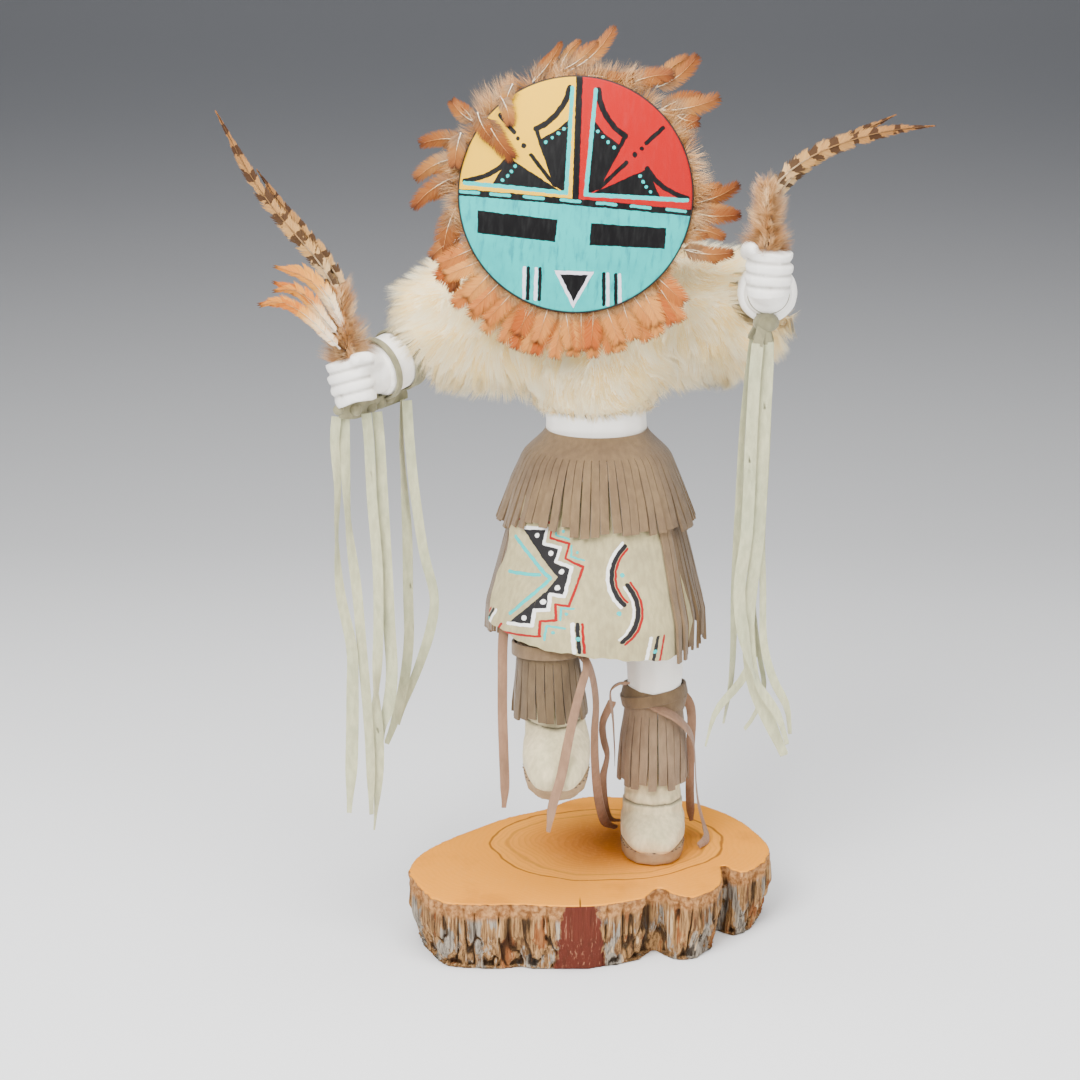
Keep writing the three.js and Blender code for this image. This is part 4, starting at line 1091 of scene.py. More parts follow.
@dataclass
class Hide:
    """A hide wrapped round a wearer and slit into a fringe below an uncut band.

    Angles are in degrees and heights in millimetres; surface gives the point at an angle in radians, a
    height and a distance out from the wearer.
    """

    start: float
    end: float
    strips: int
    top: float
    band: float
    hem: Callable[[int], float]
    surface: Callable[[float, float, float], Vector]
    thickness: float = 1.3
    slit: float = 0.07
    rows: int = 22
    seed: int = 1
    twist: float = 25.0
    sway: float = 0.16
    flare: float = 1.2

    def build(self, name: str) -> Object:
        """Makes the fringe's object: one sheet whose slit columns are cut out below the band."""
        rng = Rng(self.seed)
        columns = 5
        bm = bmesh.new()
        bmesh.ops.create_grid(bm, x_segments=self.strips * columns, y_segments=self.rows, size=0.5)
        band_rows = max(2, round(self.rows * 0.18))
        slits = []
        for face in bm.faces:
            centre = face.calc_center_median()
            column = (centre.x + 0.5) * self.strips * columns
            row = (0.5 - centre.y) * self.rows
            if column % columns > columns - 1 and row > band_rows:
                slits.append(face)
        bmesh.ops.delete(bm, geom=slits, context="FACES")
        step = (self.end - self.start) / self.strips
        turns = [rng.uniform(-self.twist, self.twist) for _ in range(self.strips)]
        sways = [rng.uniform(-self.sway, self.sway) for _ in range(self.strips)]
        lifts = [rng.uniform(0, self.flare) for _ in range(self.strips)]
        waves = [rng.uniform(0, tau) for _ in range(self.strips)]
        for vert in bm.verts:
            place = round((vert.co.x + 0.5) * self.strips * columns)
            row = round((0.5 - vert.co.y) * self.rows)
            strip = min(place // columns, self.strips - 1)
            local = (place - strip * columns) / (columns - 1)
            down = max(0.0, (row - band_rows) / (self.rows - band_rows))
            cut = self.top - self.band
            height = lerp(self.top, cut, row / band_rows) if row <= band_rows else lerp(cut, self.hem(strip), down)
            share = 0.5 + (min(local, 1.0) - 0.5) * (1 - self.slit * (1 + 1.4 * down))
            turn = radians(turns[strip]) * ease(down, 0.1, 1.0)
            middle = strip + 0.5 + sways[strip] * down ** 1.4 + 0.05 * sin(waves[strip] + 5 * down) * down
            offset = (share - 0.5) * cos(turn)
            angle = radians(self.start + (middle + offset) * step)
            width = (self.surface(radians(self.start + step), height, 0)
                     - self.surface(radians(self.start), height, 0)).length / MM
            out = (share - 0.5) * sin(turn) * width + lifts[strip] * down ** 1.5
            out += 0.35 * sin(waves[strip] * 2 + 6 * down) * down
            vert.co = self.surface(angle, height, out)
        bmesh.ops.recalc_face_normals(bm, faces=bm.faces[:])
        return thickened(name, bm, self.thickness)


# ---------------------------------------------------------------- the camera, floor and light


@dataclass(frozen=True)
class Studio:
    """The pale floor, the soft light and the camera."""

    target: Row = (-0.025, 0.0, 0.203)
    distance: float = 1.275
    elevation: float = 16.0
    lens: float = 85.0
    sweep_start: float = 0.7
    sweep: float = 0.9

    def camera(self) -> None:
        """Sets up the camera."""
        data = bpy.data.cameras.new("camera")
        data.lens = self.lens
        data.sensor_width = 36
        obj = new_object("camera", data)
        rise = radians(self.elevation)
        back = Vector((0, -cos(rise), sin(rise)))
        obj.location = Vector(self.target) + back * self.distance
        obj.rotation_euler = back.to_track_quat("Z", "Y").to_euler()
        bpy.context.scene.camera = obj

    def light(self, name: str, place: Row, size: float, power: float) -> None:
        """Adds a square area light that faces the doll."""
        data = bpy.data.lights.new(name, "AREA")
        data.size = size
        data.energy = power
        obj = new_object(name, data)
        obj.location = place
        obj.rotation_euler = (Vector(place) - Vector(self.target)).to_track_quat("Z", "Y").to_euler()

    def build(self) -> None:
        """Builds the floor with its swept-up back, painted darker towards the top as shade, the lights and the
        surrounding light.
        """
        bm = bmesh.new()
        bmesh.ops.create_grid(bm, x_segments=2, y_segments=80, size=4)
        for vert in bm.verts:
            run = vert.co.y + 3 - self.sweep_start
            turn = min(max(run, 0) / self.sweep, pi / 2)
            rise = max(0.0, run - self.sweep * pi / 2)
            vert.co.y = min(run, 0) + self.sweep_start + self.sweep * sin(turn)
            vert.co.z = self.sweep * (1 - cos(turn)) + rise - 0.0004
        floor = new_object("floor", to_mesh("floor", bm))
        material, g, shader = new_material("floor")
        shade = g.noise(g.object_place(), 0.6, 2)
        parts = g.parts(g.object_place())
        # Painted shade: the floor's swept-up back darkens towards the top.
        height = g.step(g.plus(parts["Y"], parts["Z"]), -0.25, 1.75)
        pale = g.mix(shade, "f2f2f3", "f7f7f7")
        g.feed_all(shader, {
            "Base Color": g.mix(height, pale, "545558"),
            "Roughness": 0.9})
        floor.data.materials.append(material)
        world = bpy.data.worlds.new("studio")
        world.use_nodes = True
        background = world.node_tree.nodes["Background"]
        background.inputs["Color"].default_value = tone("dfe2e8")
        background.inputs["Strength"].default_value = 0.42
        bpy.context.scene.world = world
        self.light("key", (-0.75, -1.25, 1.35), 0.9, 54)
        self.light("fill", (1.1, -1.2, 0.75), 1.0, 22)
        self.light("top", (0.0, -0.15, 1.5), 1.1, 32)


# ---------------------------------------------------------------- the doll's parts


@dataclass
class Thongs:
    """The suede thongs that hang free at the wrists and the legs."""

    right: tuple[Strip, ...]
    left: tuple[Strip, ...]
    right_ties: tuple[Strip, ...]
    left_ties: tuple[Strip, ...]

    def lay(self, label: str, strips: Sequence[Strip], slot: str, material: Material) -> None:
        """Builds one bunch of thongs."""
        for k, strip in enumerate(strips, 1):
            obj = strip.build(f"{label}_strip_{k}")
            path = strip.path()
            dress(obj, [f"{label}_{k}"], slot, material)

    def build(self) -> None:
        """Builds every thong."""
        pale, rose = PALE.material(), ROSE.material()
        self.lay("right_thong", self.right, "pale_suede", pale)
        self.lay("left_thong", self.left, "pale_suede", pale)
        self.lay("right_leg_tie", self.right_ties, "suede", rose)
        self.lay("left_leg_tie", self.left_ties, "suede", rose)


def hang(depth: float, *points: Row) -> tuple[Row, ...]:
    """Returns a route in one upright plane from its (across, height) points."""
    return tuple((x, depth, z) for x, z in points)


THONGS = Thongs(
    right=(
        Strip(hang(-30, (-123, 273.4), (-124, 261), (-123, 239), (-124, 215), (-123, 186), (-118, 157), (-118, 134),
              (-119, 102), (-121, 70)), 5.4, widths=((0, 0.85), (0.5, 0.9), (0.7, 1.15), (0.88, 1.15), (1, 0.9)),
              twists=((0, 10), (0.3, 75), (0.45, 20), (1, 0))),
        Strip(hang(-27, (-119.5, 273.4), (-119.5, 261), (-119, 236), (-118, 214), (-115, 185), (-113, 154),
              (-111, 123), (-110, 96), (-110, 68)), 5.4, widths=((0, 1.0), (0.5, 0.9), (1, 0.85)), twists=((0, 0),
              (0.25, 65), (0.42, 10), (1, 20))),
        Strip(hang(-23.5, (-109, 273.4), (-108, 260), (-107, 230), (-105, 198), (-105, 169), (-106, 143), (-107, 119),
              (-106, 91), (-109, 58)), 5.4, widths=((0, 0.9), (0.6, 0.95), (0.75, 1.2), (0.9, 0.75), (1, 0.5)),
              twists=((0, 0), (0.55, -10), (0.66, 70), (0.74, 5), (1, 20)), pointed=0.35),
        Strip(hang(-20, (-104, 273.4), (-103, 259), (-102, 228), (-101, 198), (-100, 167), (-99, 141), (-101, 123),
              (-104, 113), (-105, 105)), 5.4, widths=((0, 0.9), (0.5, 1.15), (1, 1.1)), twists=((0, 5), (1, -15))),
        Strip(hang(-6, (-92.5, 276.4), (-93, 256), (-92, 232), (-91, 208), (-91, 177), (-91, 153), (-94, 129),
              (-99, 109), (-103, 98)), 5.4, widths=((0, 0.8), (0.4, 0.95), (1, 0.9)), twists=((0, 70), (0.2, 60),
              (0.42, 8), (1, 0))),
        Strip(((-90, -10, 276.8), (-89, -10, 257), (-87, -10, 233), (-83, -9, 201), (-78, -8, 177), (-80, -6, 159),
              (-86, -3, 139), (-93, -1, 120), (-97, 0, 106)), 5.4, widths=((0, 0.9), (0.7, 0.9), (1, 0.5)),
              twists=((0, 0), (0.6, -20), (1, 10)), pointed=0.3),
    ),
    left=(
        Strip(hang(-36, (75.5, 313.6), (74, 298), (72, 267), (71, 223), (70, 188), (70, 159), (69, 139), (66, 120)),
              4.6, widths=((0, 0.6), (0.5, 0.9), (1, 0.8)), twists=((0, 40), (0.5, 10), (1, 50))),
        Strip(hang(-52, (77, 313.6), (76, 299), (75, 267), (74, 223), (71, 193), (74, 169), (81, 146), (91, 130),
              (96, 115)), 5.6, widths=((0, 1.0), (0.7, 1.05), (0.8, 0.75), (1, 0.7)), twists=((0, 0), (0.7, 10),
              (0.8, 80), (0.88, 20), (1, 10))),
        Strip(hang(-49, (82, 313.6), (82, 298), (81, 263), (80, 222), (77, 192), (76, 171), (79, 146), (87, 126),
              (95, 108)), 5.8, widths=((0, 1.0), (0.6, 1.05), (1, 1.15)), twists=((0, 0), (0.5, 15), (1, -10)),
              pointed=0.6),
        Strip(hang(-45.5, (83, 313.6), (83, 297), (83, 262), (82, 221), (83, 191), (84, 165), (89, 146), (96, 132),
              (98, 118)), 4.4, widths=((0, 0.8), (1, 0.85)), twists=((0, 0), (0.5, 30), (1, 0))),
        Strip(hang(-42.4, (80, 313.6), (80, 296), (79, 261), (78, 220), (79, 185), (82, 159), (85, 141), (81, 127),
              (76, 119)), 4.0, widths=((0, 0.8), (1, 0.6)), twists=((0, 20), (0.6, 60), (1, 0))),
        Strip(hang(-39.2, (78, 313.6), (77, 296), (77, 260), (77, 220), (78, 184), (80, 159), (74, 143), (62, 127),
              (57, 109)), 4.4, widths=((0, 0.8), (0.7, 0.85), (1, 0.6)), twists=((0, 0), (0.7, -30), (1, 10)),
              pointed=0.3),
    ),
    right_ties=(
        Strip(((-40, -33, 174), (-43, -34.4, 165), (-43.5, -36.5, 142), (-43.5, -38, 124), (-43, -38, 105),
              (-42.5, -38, 87), (-43, -38, 76)), 4.8, twists=((0, 0), (1, 12))),
        Strip(((-3, -47, 159), (-2.6, -53, 153), (-4.5, -56, 147), (-7, -58, 138), (-11, -64, 122), (-15, -69, 103),
              (-19, -69.5, 89), (-21, -69.5, 76)), 4.6, widths=((0, 0.8), (0.6, 1.0), (1, 0.9)), twists=((0, 30),
              (1, -10))),
        Strip(((-6, -44, 160), (-1.5, -42.5, 153), (1.5, -35, 141), (3, -28, 126), (2.5, -22, 110), (3, -14, 90),
              (5, 0, 66), (9, 13, 47), (15, 24, 39.4)), 4.6, twists=((0, 60), (0.4, 20), (1, 0))),
    ),
    left_ties=(
        Strip(((19, -19, 134.5), (14, -21, 135), (10, -20.5, 130), (11.5, -17, 116), (12.6, -12.5, 98),
              (13, -10, 87)), 4.4, twists=((0, 0), (1, 10))),
        Strip(((11.5, -9, 121), (7, -8, 110), (7.5, -6, 100), (9.5, -3, 90), (7.5, 2, 76), (8, 10, 60), (11, 25, 44),
              (17, 33, 39.4)), 4.6, twists=((0, 20), (0.3, 60), (0.6, 10), (1, 0))),
        Strip(((31, -12.4, 121), (35.5, -16, 119.5), (42, -16.6, 116.5), (49, -13, 109), (53, -7, 100),
              (54.5, -2, 88), (55.5, 4, 74), (57.5, 12, 58), (61, 20, 43), (62, 10, 39.4), (57, -1, 39.4)), 4.6,
              twists=((0, 0), (1, 0))),
        Strip(((46.6, 4, 122), (51.4, 4.8, 115), (52.8, 5.8, 106), (52.6, 8, 92), (52.8, 13, 73), (53.5, 19, 57),
              (55, 28, 42)), 4.6, twists=((0, 0), (1, 15))),
    ),
)


@dataclass
class Slab:
    """The slice of cedar: flat oiled top, shredded bark."""

    voxel: float = 0.00104
    shred: float = 0.0027
    finish: Cedar = Cedar()
    seed: int = 3

    def push(self, place: Vector, top: float) -> float:
        """Returns how far the bark stands out at a place, from about -1 to 1."""
        wander = noise_vector(place * 30) * 0.003
        x, y = place.x + wander.x, place.y + wander.y
        plate = noise(Vector((x * 120, y * 120, place.z * 9 + self.seed)))
        fibre = noise(Vector((x * 480, y * 480, place.z * 20 + self.seed)))
        valley = 1 - min(1.0, abs(noise(Vector((x * 210, y * 210, place.z * 14 + self.seed + 3)))) * 4.5)
        crumb = noise(place * 260) * ease(place.z, top - 0.009, top - 0.004)
        open_wall = 1 - 0.8 * ease(place.z, top - 0.007, top - 0.002)
        notch = ease(noise(Vector((x * 170, y * 170, 9))), 0.0, 0.3) * (1 - ease(place.z, 0.0, 0.006))
        return plate * 0.7 + fibre * 0.5 + crumb * 0.6 - valley ** 2 * 1.1 * open_wall - notch * 1.1

    def build(self) -> None:
        """Builds the slab from the solid's outline, with its bark ridges raised."""
        mesh = remeshed(cad_bmesh("slab"), self.voxel, 2)
        low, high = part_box("slab")
        bared, half = self.finish.bared
        hollow_shade = []
        for vert, normal in zip(mesh.vertices, normals_of(mesh)):
            wall = 1 - ease(abs(normal.z), 0.45, 0.8)
            plank = (1 - ease(abs(vert.co.x - bared), half - 0.001, half + 0.002)) * (vert.co.y < -0.03)
            push = lerp(self.push(vert.co, high[2]), 0.25, plank)
            # Painted shade: how deep a point lies in the bark's crevices, for the bark colour to darken.
            hollow_shade.append(min(1.0, max(0.0, 0.5 - push * 0.75)) * wall)
            vert.co += Vector((normal.x, normal.y, 0)) * (push - 0.45) * self.shred * wall
            if normal.z > 0.8:
                vert.co.z = high[2] - 0.0001 + 0.00008 * noise(vert.co * 60)
            vert.co.z = low[2] if normal.z < -0.8 else min(max(vert.co.z, low[2]), high[2])
        store(mesh, "hollow_shade", hollow_shade)
        dress(new_object("cedar_slab", mesh), ["slab"], "cedar", self.finish.material())


@dataclass(frozen=True)
class Fist:
    """A closed hand round an upright grip: a palm, four curled fingers and a thumb, in millimetres."""

    centre: Row
    turn: Row
    thumb: tuple[Row, ...]
    wrist: Row
    axis: Row
    width: float = 12.0
    depth: float = 11.2
    height: float = 11.2
    fingers: int = 4

    def place(self) -> Matrix:
        """Returns the transform from the hand's own frame, grip along Z and knuckles towards -Y."""
        rotation = Matrix.Rotation(radians(self.turn[2]), 4, "Z") @ \
            Matrix.Rotation(radians(self.turn[1]), 4, "Y") @ Matrix.Rotation(radians(self.turn[0]), 4, "X")
        return moved(self.centre) @ rotation

    def joint(self) -> tuple[Vector, Vector]:
        """Returns the forearm's direction and the wrist's place."""
        return Vector(self.axis).normalized(), Vector(self.wrist) * MM

    def groove(self, point: Vector) -> float:
        """Returns how far a point lies in a groove between two fingers, from 0 to 1."""
        own = self.place().inverted() @ point
        pitch = 2 * self.height / self.fingers
        level = (own.z / MM + self.height) / pitch
        gap = abs(level - round(level)) * pitch
        inside = 0.5 < level < self.fingers - 0.5 and own.y < 0.004
        return exp(-(gap / 0.8) ** 2) * inside

    def shape(self, bm: BMesh) -> None:
        """Adds the hand's overlapping shapes to a bmesh."""
        place = self.place()
        size = Vector((self.width * 0.76, self.depth * 0.74, self.height * 0.94)) * MM
        bmesh.ops.create_uvsphere(bm, u_segments=24, v_segments=16, radius=1,
                                  matrix=place @ Matrix.Diagonal((*size, 1)))
        pitch = 2 * self.height / self.fingers
        for k in range(self.fingers):
            level = (k + 0.5) * pitch - self.height
            shrink = 1 - 0.16 * abs(2 * k - (self.fingers - 1)) / (self.fingers - 1)
            steps = 14
            for step in range(steps + 1):
                angle = radians(lerp(-118, 118, step / steps))
                sway = 0.5 * sin(2.5 * angle + k)
                at = Vector((sin(angle) * self.width * 0.66 * shrink, -cos(angle) * self.depth * 0.66
                             * shrink, level + sway)) * MM
                block = Matrix.Rotation(angle, 4, "Z") @ Matrix.Rotation(radians(9), 4, "X") @ Matrix.Diagonal(
                    (self.width * 0.42 * MM, self.depth * 0.62 * MM, pitch * 0.74 * MM, 1))
                bmesh.ops.create_cube(bm, size=1, matrix=place @ Matrix.Translation(at) @ block)
        for points in zip(self.thumb, self.thumb[1:]):
            for step in range(6):
                x, y, z, r = (lerp(a, b, step / 6) for a, b in zip(*points))
                ball(bm, (x, y, z), r, 2)


@dataclass
class Carving:
    """The carved wooden figure and its two arms, under white ground."""

    voxel: float = 0.0018
    right_fist: Fist = Fist((-115.5, -28, 290.5), (0, -18, -36),
                            ((-104, -23, 298, 4.3), (-108, -31, 301.5, 4.3), (-113.5, -36, 302.5, 3.2)),
                            (-105, -14.5, 292.8), (-0.69, -0.69, -0.22))
    left_fist: Fist = Fist((81, -57, 348), (0, 3, 4),
                           ((72, -47, 356, 4.1), (71.5, -58, 359.5, 3.9), (73, -65, 360, 2.8)),
                           (82.6, -36.5, 334.9), (-0.05, -0.985, 0.17))

    def arm(self, name: str, node: str, fist: Fist, material: Material) -> None:
        """Builds an arm: the solid arm up to the wrist, with a carved hand at its end."""
        bm = cad_bmesh(node)
        axis, wrist = fist.joint()
        geometry = bm.verts[:] + bm.edges[:] + bm.faces[:]
        cut = bmesh.ops.bisect_plane(bm, geom=geometry, plane_co=wrist + axis * 0.0002, plane_no=axis, clear_outer=True)
        edges = [part for part in cut["geom_cut"] if isinstance(part, bmesh.types.BMEdge)]
        bmesh.ops.edgeloop_fill(bm, edges=edges)
        body = remeshed(bm, self.voxel, 10, 0.00025)
        hand = bmesh.new()
        fist.shape(hand)
        hub = wrist.lerp(Vector(fist.centre) * MM, 0.35)
        bmesh.ops.create_icosphere(hand, subdivisions=3, radius=0.0098, matrix=Matrix.Translation(hub))
        bmesh.ops.create_icosphere(hand, subdivisions=3, radius=0.0116, matrix=Matrix.Translation(wrist))
        carved = remeshed(hand, 0.0009, 2)
        both = bmesh.new()
        both.from_mesh(body)
        for vert, normal in zip(carved.vertices, normals_of(carved)):
            vert.co -= normal * fist.groove(vert.co) * 0.0006
        both.from_mesh(carved)
        bpy.data.meshes.remove(body)
        bpy.data.meshes.remove(carved)
        mesh = to_mesh(name, both)
        # Painted shade: how far each point lies in a finger groove, stored for the white ground to darken.
        groove_shade_and_soil = [fist.groove(vert.co) for vert in mesh.vertices]
        store(mesh, "groove_shade_and_soil", groove_shade_and_soil)
        dress(new_object(name, mesh), [node], "white_paint", material)

    def build(self) -> None:
        """Builds the figure and both arms."""
        white = Gesso().material()
        body = new_object("carved_figure", remeshed(cad_bmesh("figure"), self.voxel, 11, 0.00025))
        dress(body, ["figure"], "white_paint", white)
        self.arm("carved_right_arm", "right_arm", self.right_fist, white)
        self.arm("carved_left_arm", "left_arm", self.left_fist, white)


@dataclass
class Mask:
    """The round mask: a shallow dome inside a thin rim, low behind."""

    radius: float = 54.7
    rim: float = 3.4
    dome: float = 9.0
    back: float = 7.0
    seat: float = 45.0
    tilt: float = 10.0
    roll: float = 4.5
    at: Row = (-8.5, -46, 382.5)

    def place(self) -> Matrix:
        """Returns the matrix from the mask's own frame, its axis along +Z, to the doll's."""
        turn = Matrix.Rotation(radians(90 - self.tilt), 4, "X") @ Matrix.Rotation(-radians(self.roll), 4, "Z")
        return moved(self.at) @ turn

    def build(self) -> None:
        """Builds the mask by turning its profile."""
        front = [(self.radius * r, self.rim / 2 + self.dome * (1 - r ** 2.2)) for r in
                 (0.99, 0.97, 0.93, 0.87, 0.8, 0.7, 0.6, 0.48, 0.35, 0.22, 0.1, 0.0)]
        edge = [(self.radius - 0.5, self.rim / 2 - 0.5), (self.radius, 0), (self.radius - 0.5, -self.rim / 2 + 0.4)]
        profile = [(0, -self.rim / 2 - self.back), (self.seat * 0.35, -self.rim / 2 - self.back * 0.93),
                   (self.seat * 0.6, -self.rim / 2 - self.back * 0.75),
                   (self.seat * 0.85, -self.rim / 2 - self.back * 0.35), (self.seat, -self.rim / 2),
                   (self.radius - 1.2, -self.rim / 2), *reversed(edge), *front]
        bm = bmesh.new()
        verts = [bm.verts.new((r * MM, 0, h * MM)) for r, h in profile]
        edges = [bm.edges.new(pair) for pair in zip(verts, verts[1:])]
        bmesh.ops.spin(bm, geom=verts + edges, cent=(0, 0, 0), axis=(0, 0, 1), angle=tau, steps=128, use_merge=True)
        bmesh.ops.remove_doubles(bm, verts=bm.verts[:], dist=1e-5)
        place = self.place()
        bmesh.ops.transform(bm, matrix=place, verts=bm.verts[:])
        centre = Vector(self.at) * MM
        right, up = (place.to_3x3() @ Vector(v) for v in ((1, 0, 0), (0, 1, 0)))
        paint = MaskPaint().material(centre, right, up)
        dress(new_object("painted_mask", to_mesh("painted_mask", bm)), ["mask"], "mask_paint", paint)


@dataclass
class Ruff:
    """The collar of feathers behind the mask: a neat fan under the chin and loose feathers and down above.

    Places are in millimetres on the mask's face, from its centre: across, up, and a level in front of its rim.
    """

    mask: Mask
    fan: int = 20
    inner: float = 50.0
    tip: float = 74.0
    level: float = -3.4
    loose: tuple[Row, ...] = (
        (-8, 56, 11.4, 77.4, 5, 3.4), (-12, 56, 4, 70, 3, 2.6), (-24, 50, -12.3, 68.6, 2, 2.2),
        (1.6, 55, 21, 55.4, 3, 3.8), (18, 51, 39.2, 58, -3, 4.2), (33, 52, 50.3, 66.8, 4, 3.8),
        (36, 42, 61.4, 49.1, 3, 4.4), (44, 40, 53, 38, 2, 3), (52, 0, 74.4, 10.2, 3, 3.8), (54, -4, 75.8, -3.2, 2, 3.6),
        (52, -21, 74.4, -20.9, 3, 3.6), (52, -12, 70, -14, -3, 3), (-54, 21, -72.6, 18.1, 3, 3.6),
        (-55, 13, -73.9, 2.3, 4, 3.8), (-56, 4, -73.9, -11.1, 4, 3.8), (-55, -10, -59.1, -31, 2, 5),
        (-57, -30, -53.5, -48, -1, 3.6), (-52, -24, -64, -33, 2, 3.4), (-50, 30, -60, 38, -2, 3))
    over: tuple[Row, ...] = ((-33, 48, -36, 37, 1, 2.6), (-44, 32, -30.8, 14.8, 2, 4.2), (-48, 34, -40, 22, 2, 3.6),
                             (-55, 24, -56.8, 9.3, 1, 3.6), (-38, 42, -33, 30, -2, 3))
    fluff: int = 9000
    tuft_hairs: int = 46
    seed: int = 11

    def at(self, across: float, up: float, level: float) -> Vector:
        """Returns a point given in millimetres in the mask's frame."""
        return self.mask.place() @ (Vector((across, up, level)) * MM)

    def feather(self, root: Row, tip: Row, curl: float, width: float, strands: Strands, rng: Rng) -> None:
        """Adds one broad feather from root to tip, which curls sideways by a distance in millimetres."""
        start, end = self.at(*root), self.at(*tip)
        lean = Vector((rng.uniform(-0.25, 0.25), rng.uniform(-0.25, 0.25), 1))
        face = (self.mask.place().to_3x3() @ lean).normalized()
        side = (end - start).cross(face).normalized()
        middle = start.lerp(end, 0.5) + side * curl * MM + face * 0.001
        spine = [start * (1 - t) ** 2 + middle * 2 * t * (1 - t) + end * t ** 2 for t in (k / 8 for k in range(9))]
        Feather(spine, face, width * 1.5 * MM, lambda t: min(1, 0.8 + t) * (1 - 0.55 * ease(t, 0.84, 1)), barbs=84,
                slant=0.58, ragged=0.05, droop=0.03, barb_width=0.00052, along=(0.0, 0.93),
                close=0.75).grow(strands, rng, 0.00036)
        self.tuft(start, end, face, strands, rng)

    def tuft(self, start: Vector, end: Vector, face: Vector, strands: Strands, rng: Rng) -> None:
        """Adds the loose down at the root of a feather."""
        ahead = end - start
        side = ahead.cross(face).normalized()
        for _ in range(self.tuft_hairs):
            root = start.lerp(end, rng.uniform(0, 0.3))
            out = side * rng.uniform(-1, 1) * 0.0062 + face * rng.uniform(-0.2, 1) * 0.0024
            tip = root + ahead * rng.uniform(0.08, 0.38) + out
            bend = root.lerp(tip, 0.5) + out * 0.3
            strands.add(root, bend, tip, side * 0.0002, 0.00012, (0.0, rng.uniform(0.15, 0.34)), rng.random(), 0,
                        (face + out * 60).normalized())

    def chin(self, rng: Rng) -> Strands:
        """Returns the fan of feathers under the chin."""
        strands = Strands(cuts=0)
        for row, count, tip in ((0, self.fan, self.tip), (1, self.fan - 4, self.tip - 4.5)):
            for k in range(count):
                turn = radians(lerp(-150, -38, (k + 0.5) / count) + rng.uniform(-1.5, 1.5))
                reach = tip + rng.uniform(-1.8, 1.2)
                ahead = turn + radians(rng.uniform(-4, 4))
                root = (self.inner * cos(turn), self.inner * sin(turn), self.level + row * 0.9)
                end = (reach * cos(ahead), reach * sin(ahead), self.level + 1.0 + row * 1.4)
                self.feather(root, end, rng.uniform(-0.6, 0.6), 4.6, strands, rng)
        return strands

    def down(self, rng: Rng) -> Strands:
        """Returns the down that fills in round the rim."""
        strands = Strands(pointed=True)
        for _ in range(self.fluff):
            turn = rng.uniform(0, tau)
            below = ease(-sin(turn), 0.1, 0.5)
            lock = noise(Vector((cos(turn), sin(turn), 0)) * 9)
            out = lerp(rng.uniform(55, 65) + 7 * lock, rng.uniform(54, 60), below)
            ahead = turn + 0.35 * noise(Vector((turn * 5, 3, 1))) + rng.uniform(-0.07, 0.07)
            root = self.at(51 * cos(turn), 51 * sin(turn), rng.uniform(-4, -2.2))
            tip = self.at(out * cos(ahead), out * sin(ahead), rng.uniform(-8, 1.5))
            middle = root.lerp(tip, 0.5) + Vector([rng.uniform(-1, 1) for _ in range(3)]) * 0.0022
            wide = Vector([rng.uniform(-1, 1) for _ in range(3)]).normalized() * 0.00014
            shade = (self.mask.place().to_3x3() @ Vector((0.2 * lock, 0.3, 1))).normalized()
            low = 0.35 + 0.5 * noise(Vector((turn * 7, 1, 2)))
            strands.add(root, middle, tip, wide, 0.0001, (max(0.0, low - 0.2), min(1.0, low + 0.5)), rng.random(), 0,
                        shade)
        return strands

    def build(self) -> None:
        """Builds the fan, the loose feathers and the down at their roots."""
        rng = Rng(self.seed)
        loose = Strands(cuts=0)
        for x, y, tip_x, tip_y, curl, width in self.loose:
            self.feather((x, y, self.level), (tip_x, tip_y, self.level + rng.uniform(-1, 4)), curl, width, loose, rng)
            self.feather((x, y, self.level), (lerp(x, tip_x, 0.75) + rng.uniform(-4, 4), lerp(y, tip_y, 0.75)
                                              + rng.uniform(-4, 4), self.level), -curl, width * 0.8, loose, rng)
        for x, y, tip_x, tip_y, curl, width in self.over:
            rise = 1.7 + 9 * (1 - (hypot(tip_x, tip_y) / self.mask.radius) ** 2.2)
            self.feather((x, y, 4.5), (tip_x, tip_y, max(rise, 1.7) + 1.6), curl, width, loose, rng)
        vane, quill = RUFF_VANE.material(), QUILL.material()
        for name, strands, materials in (("chin_feathers", self.chin(rng), (vane, quill)),
                                         ("loose_feathers", loose, (LOOSE_VANE.material(), quill)),
                                         ("ruff_down", self.down(rng), (DOWN.material(),))):
            dress(new_object(name, strands.mesh(name)), ["feather_ruff"], "hackle_feather", *materials)


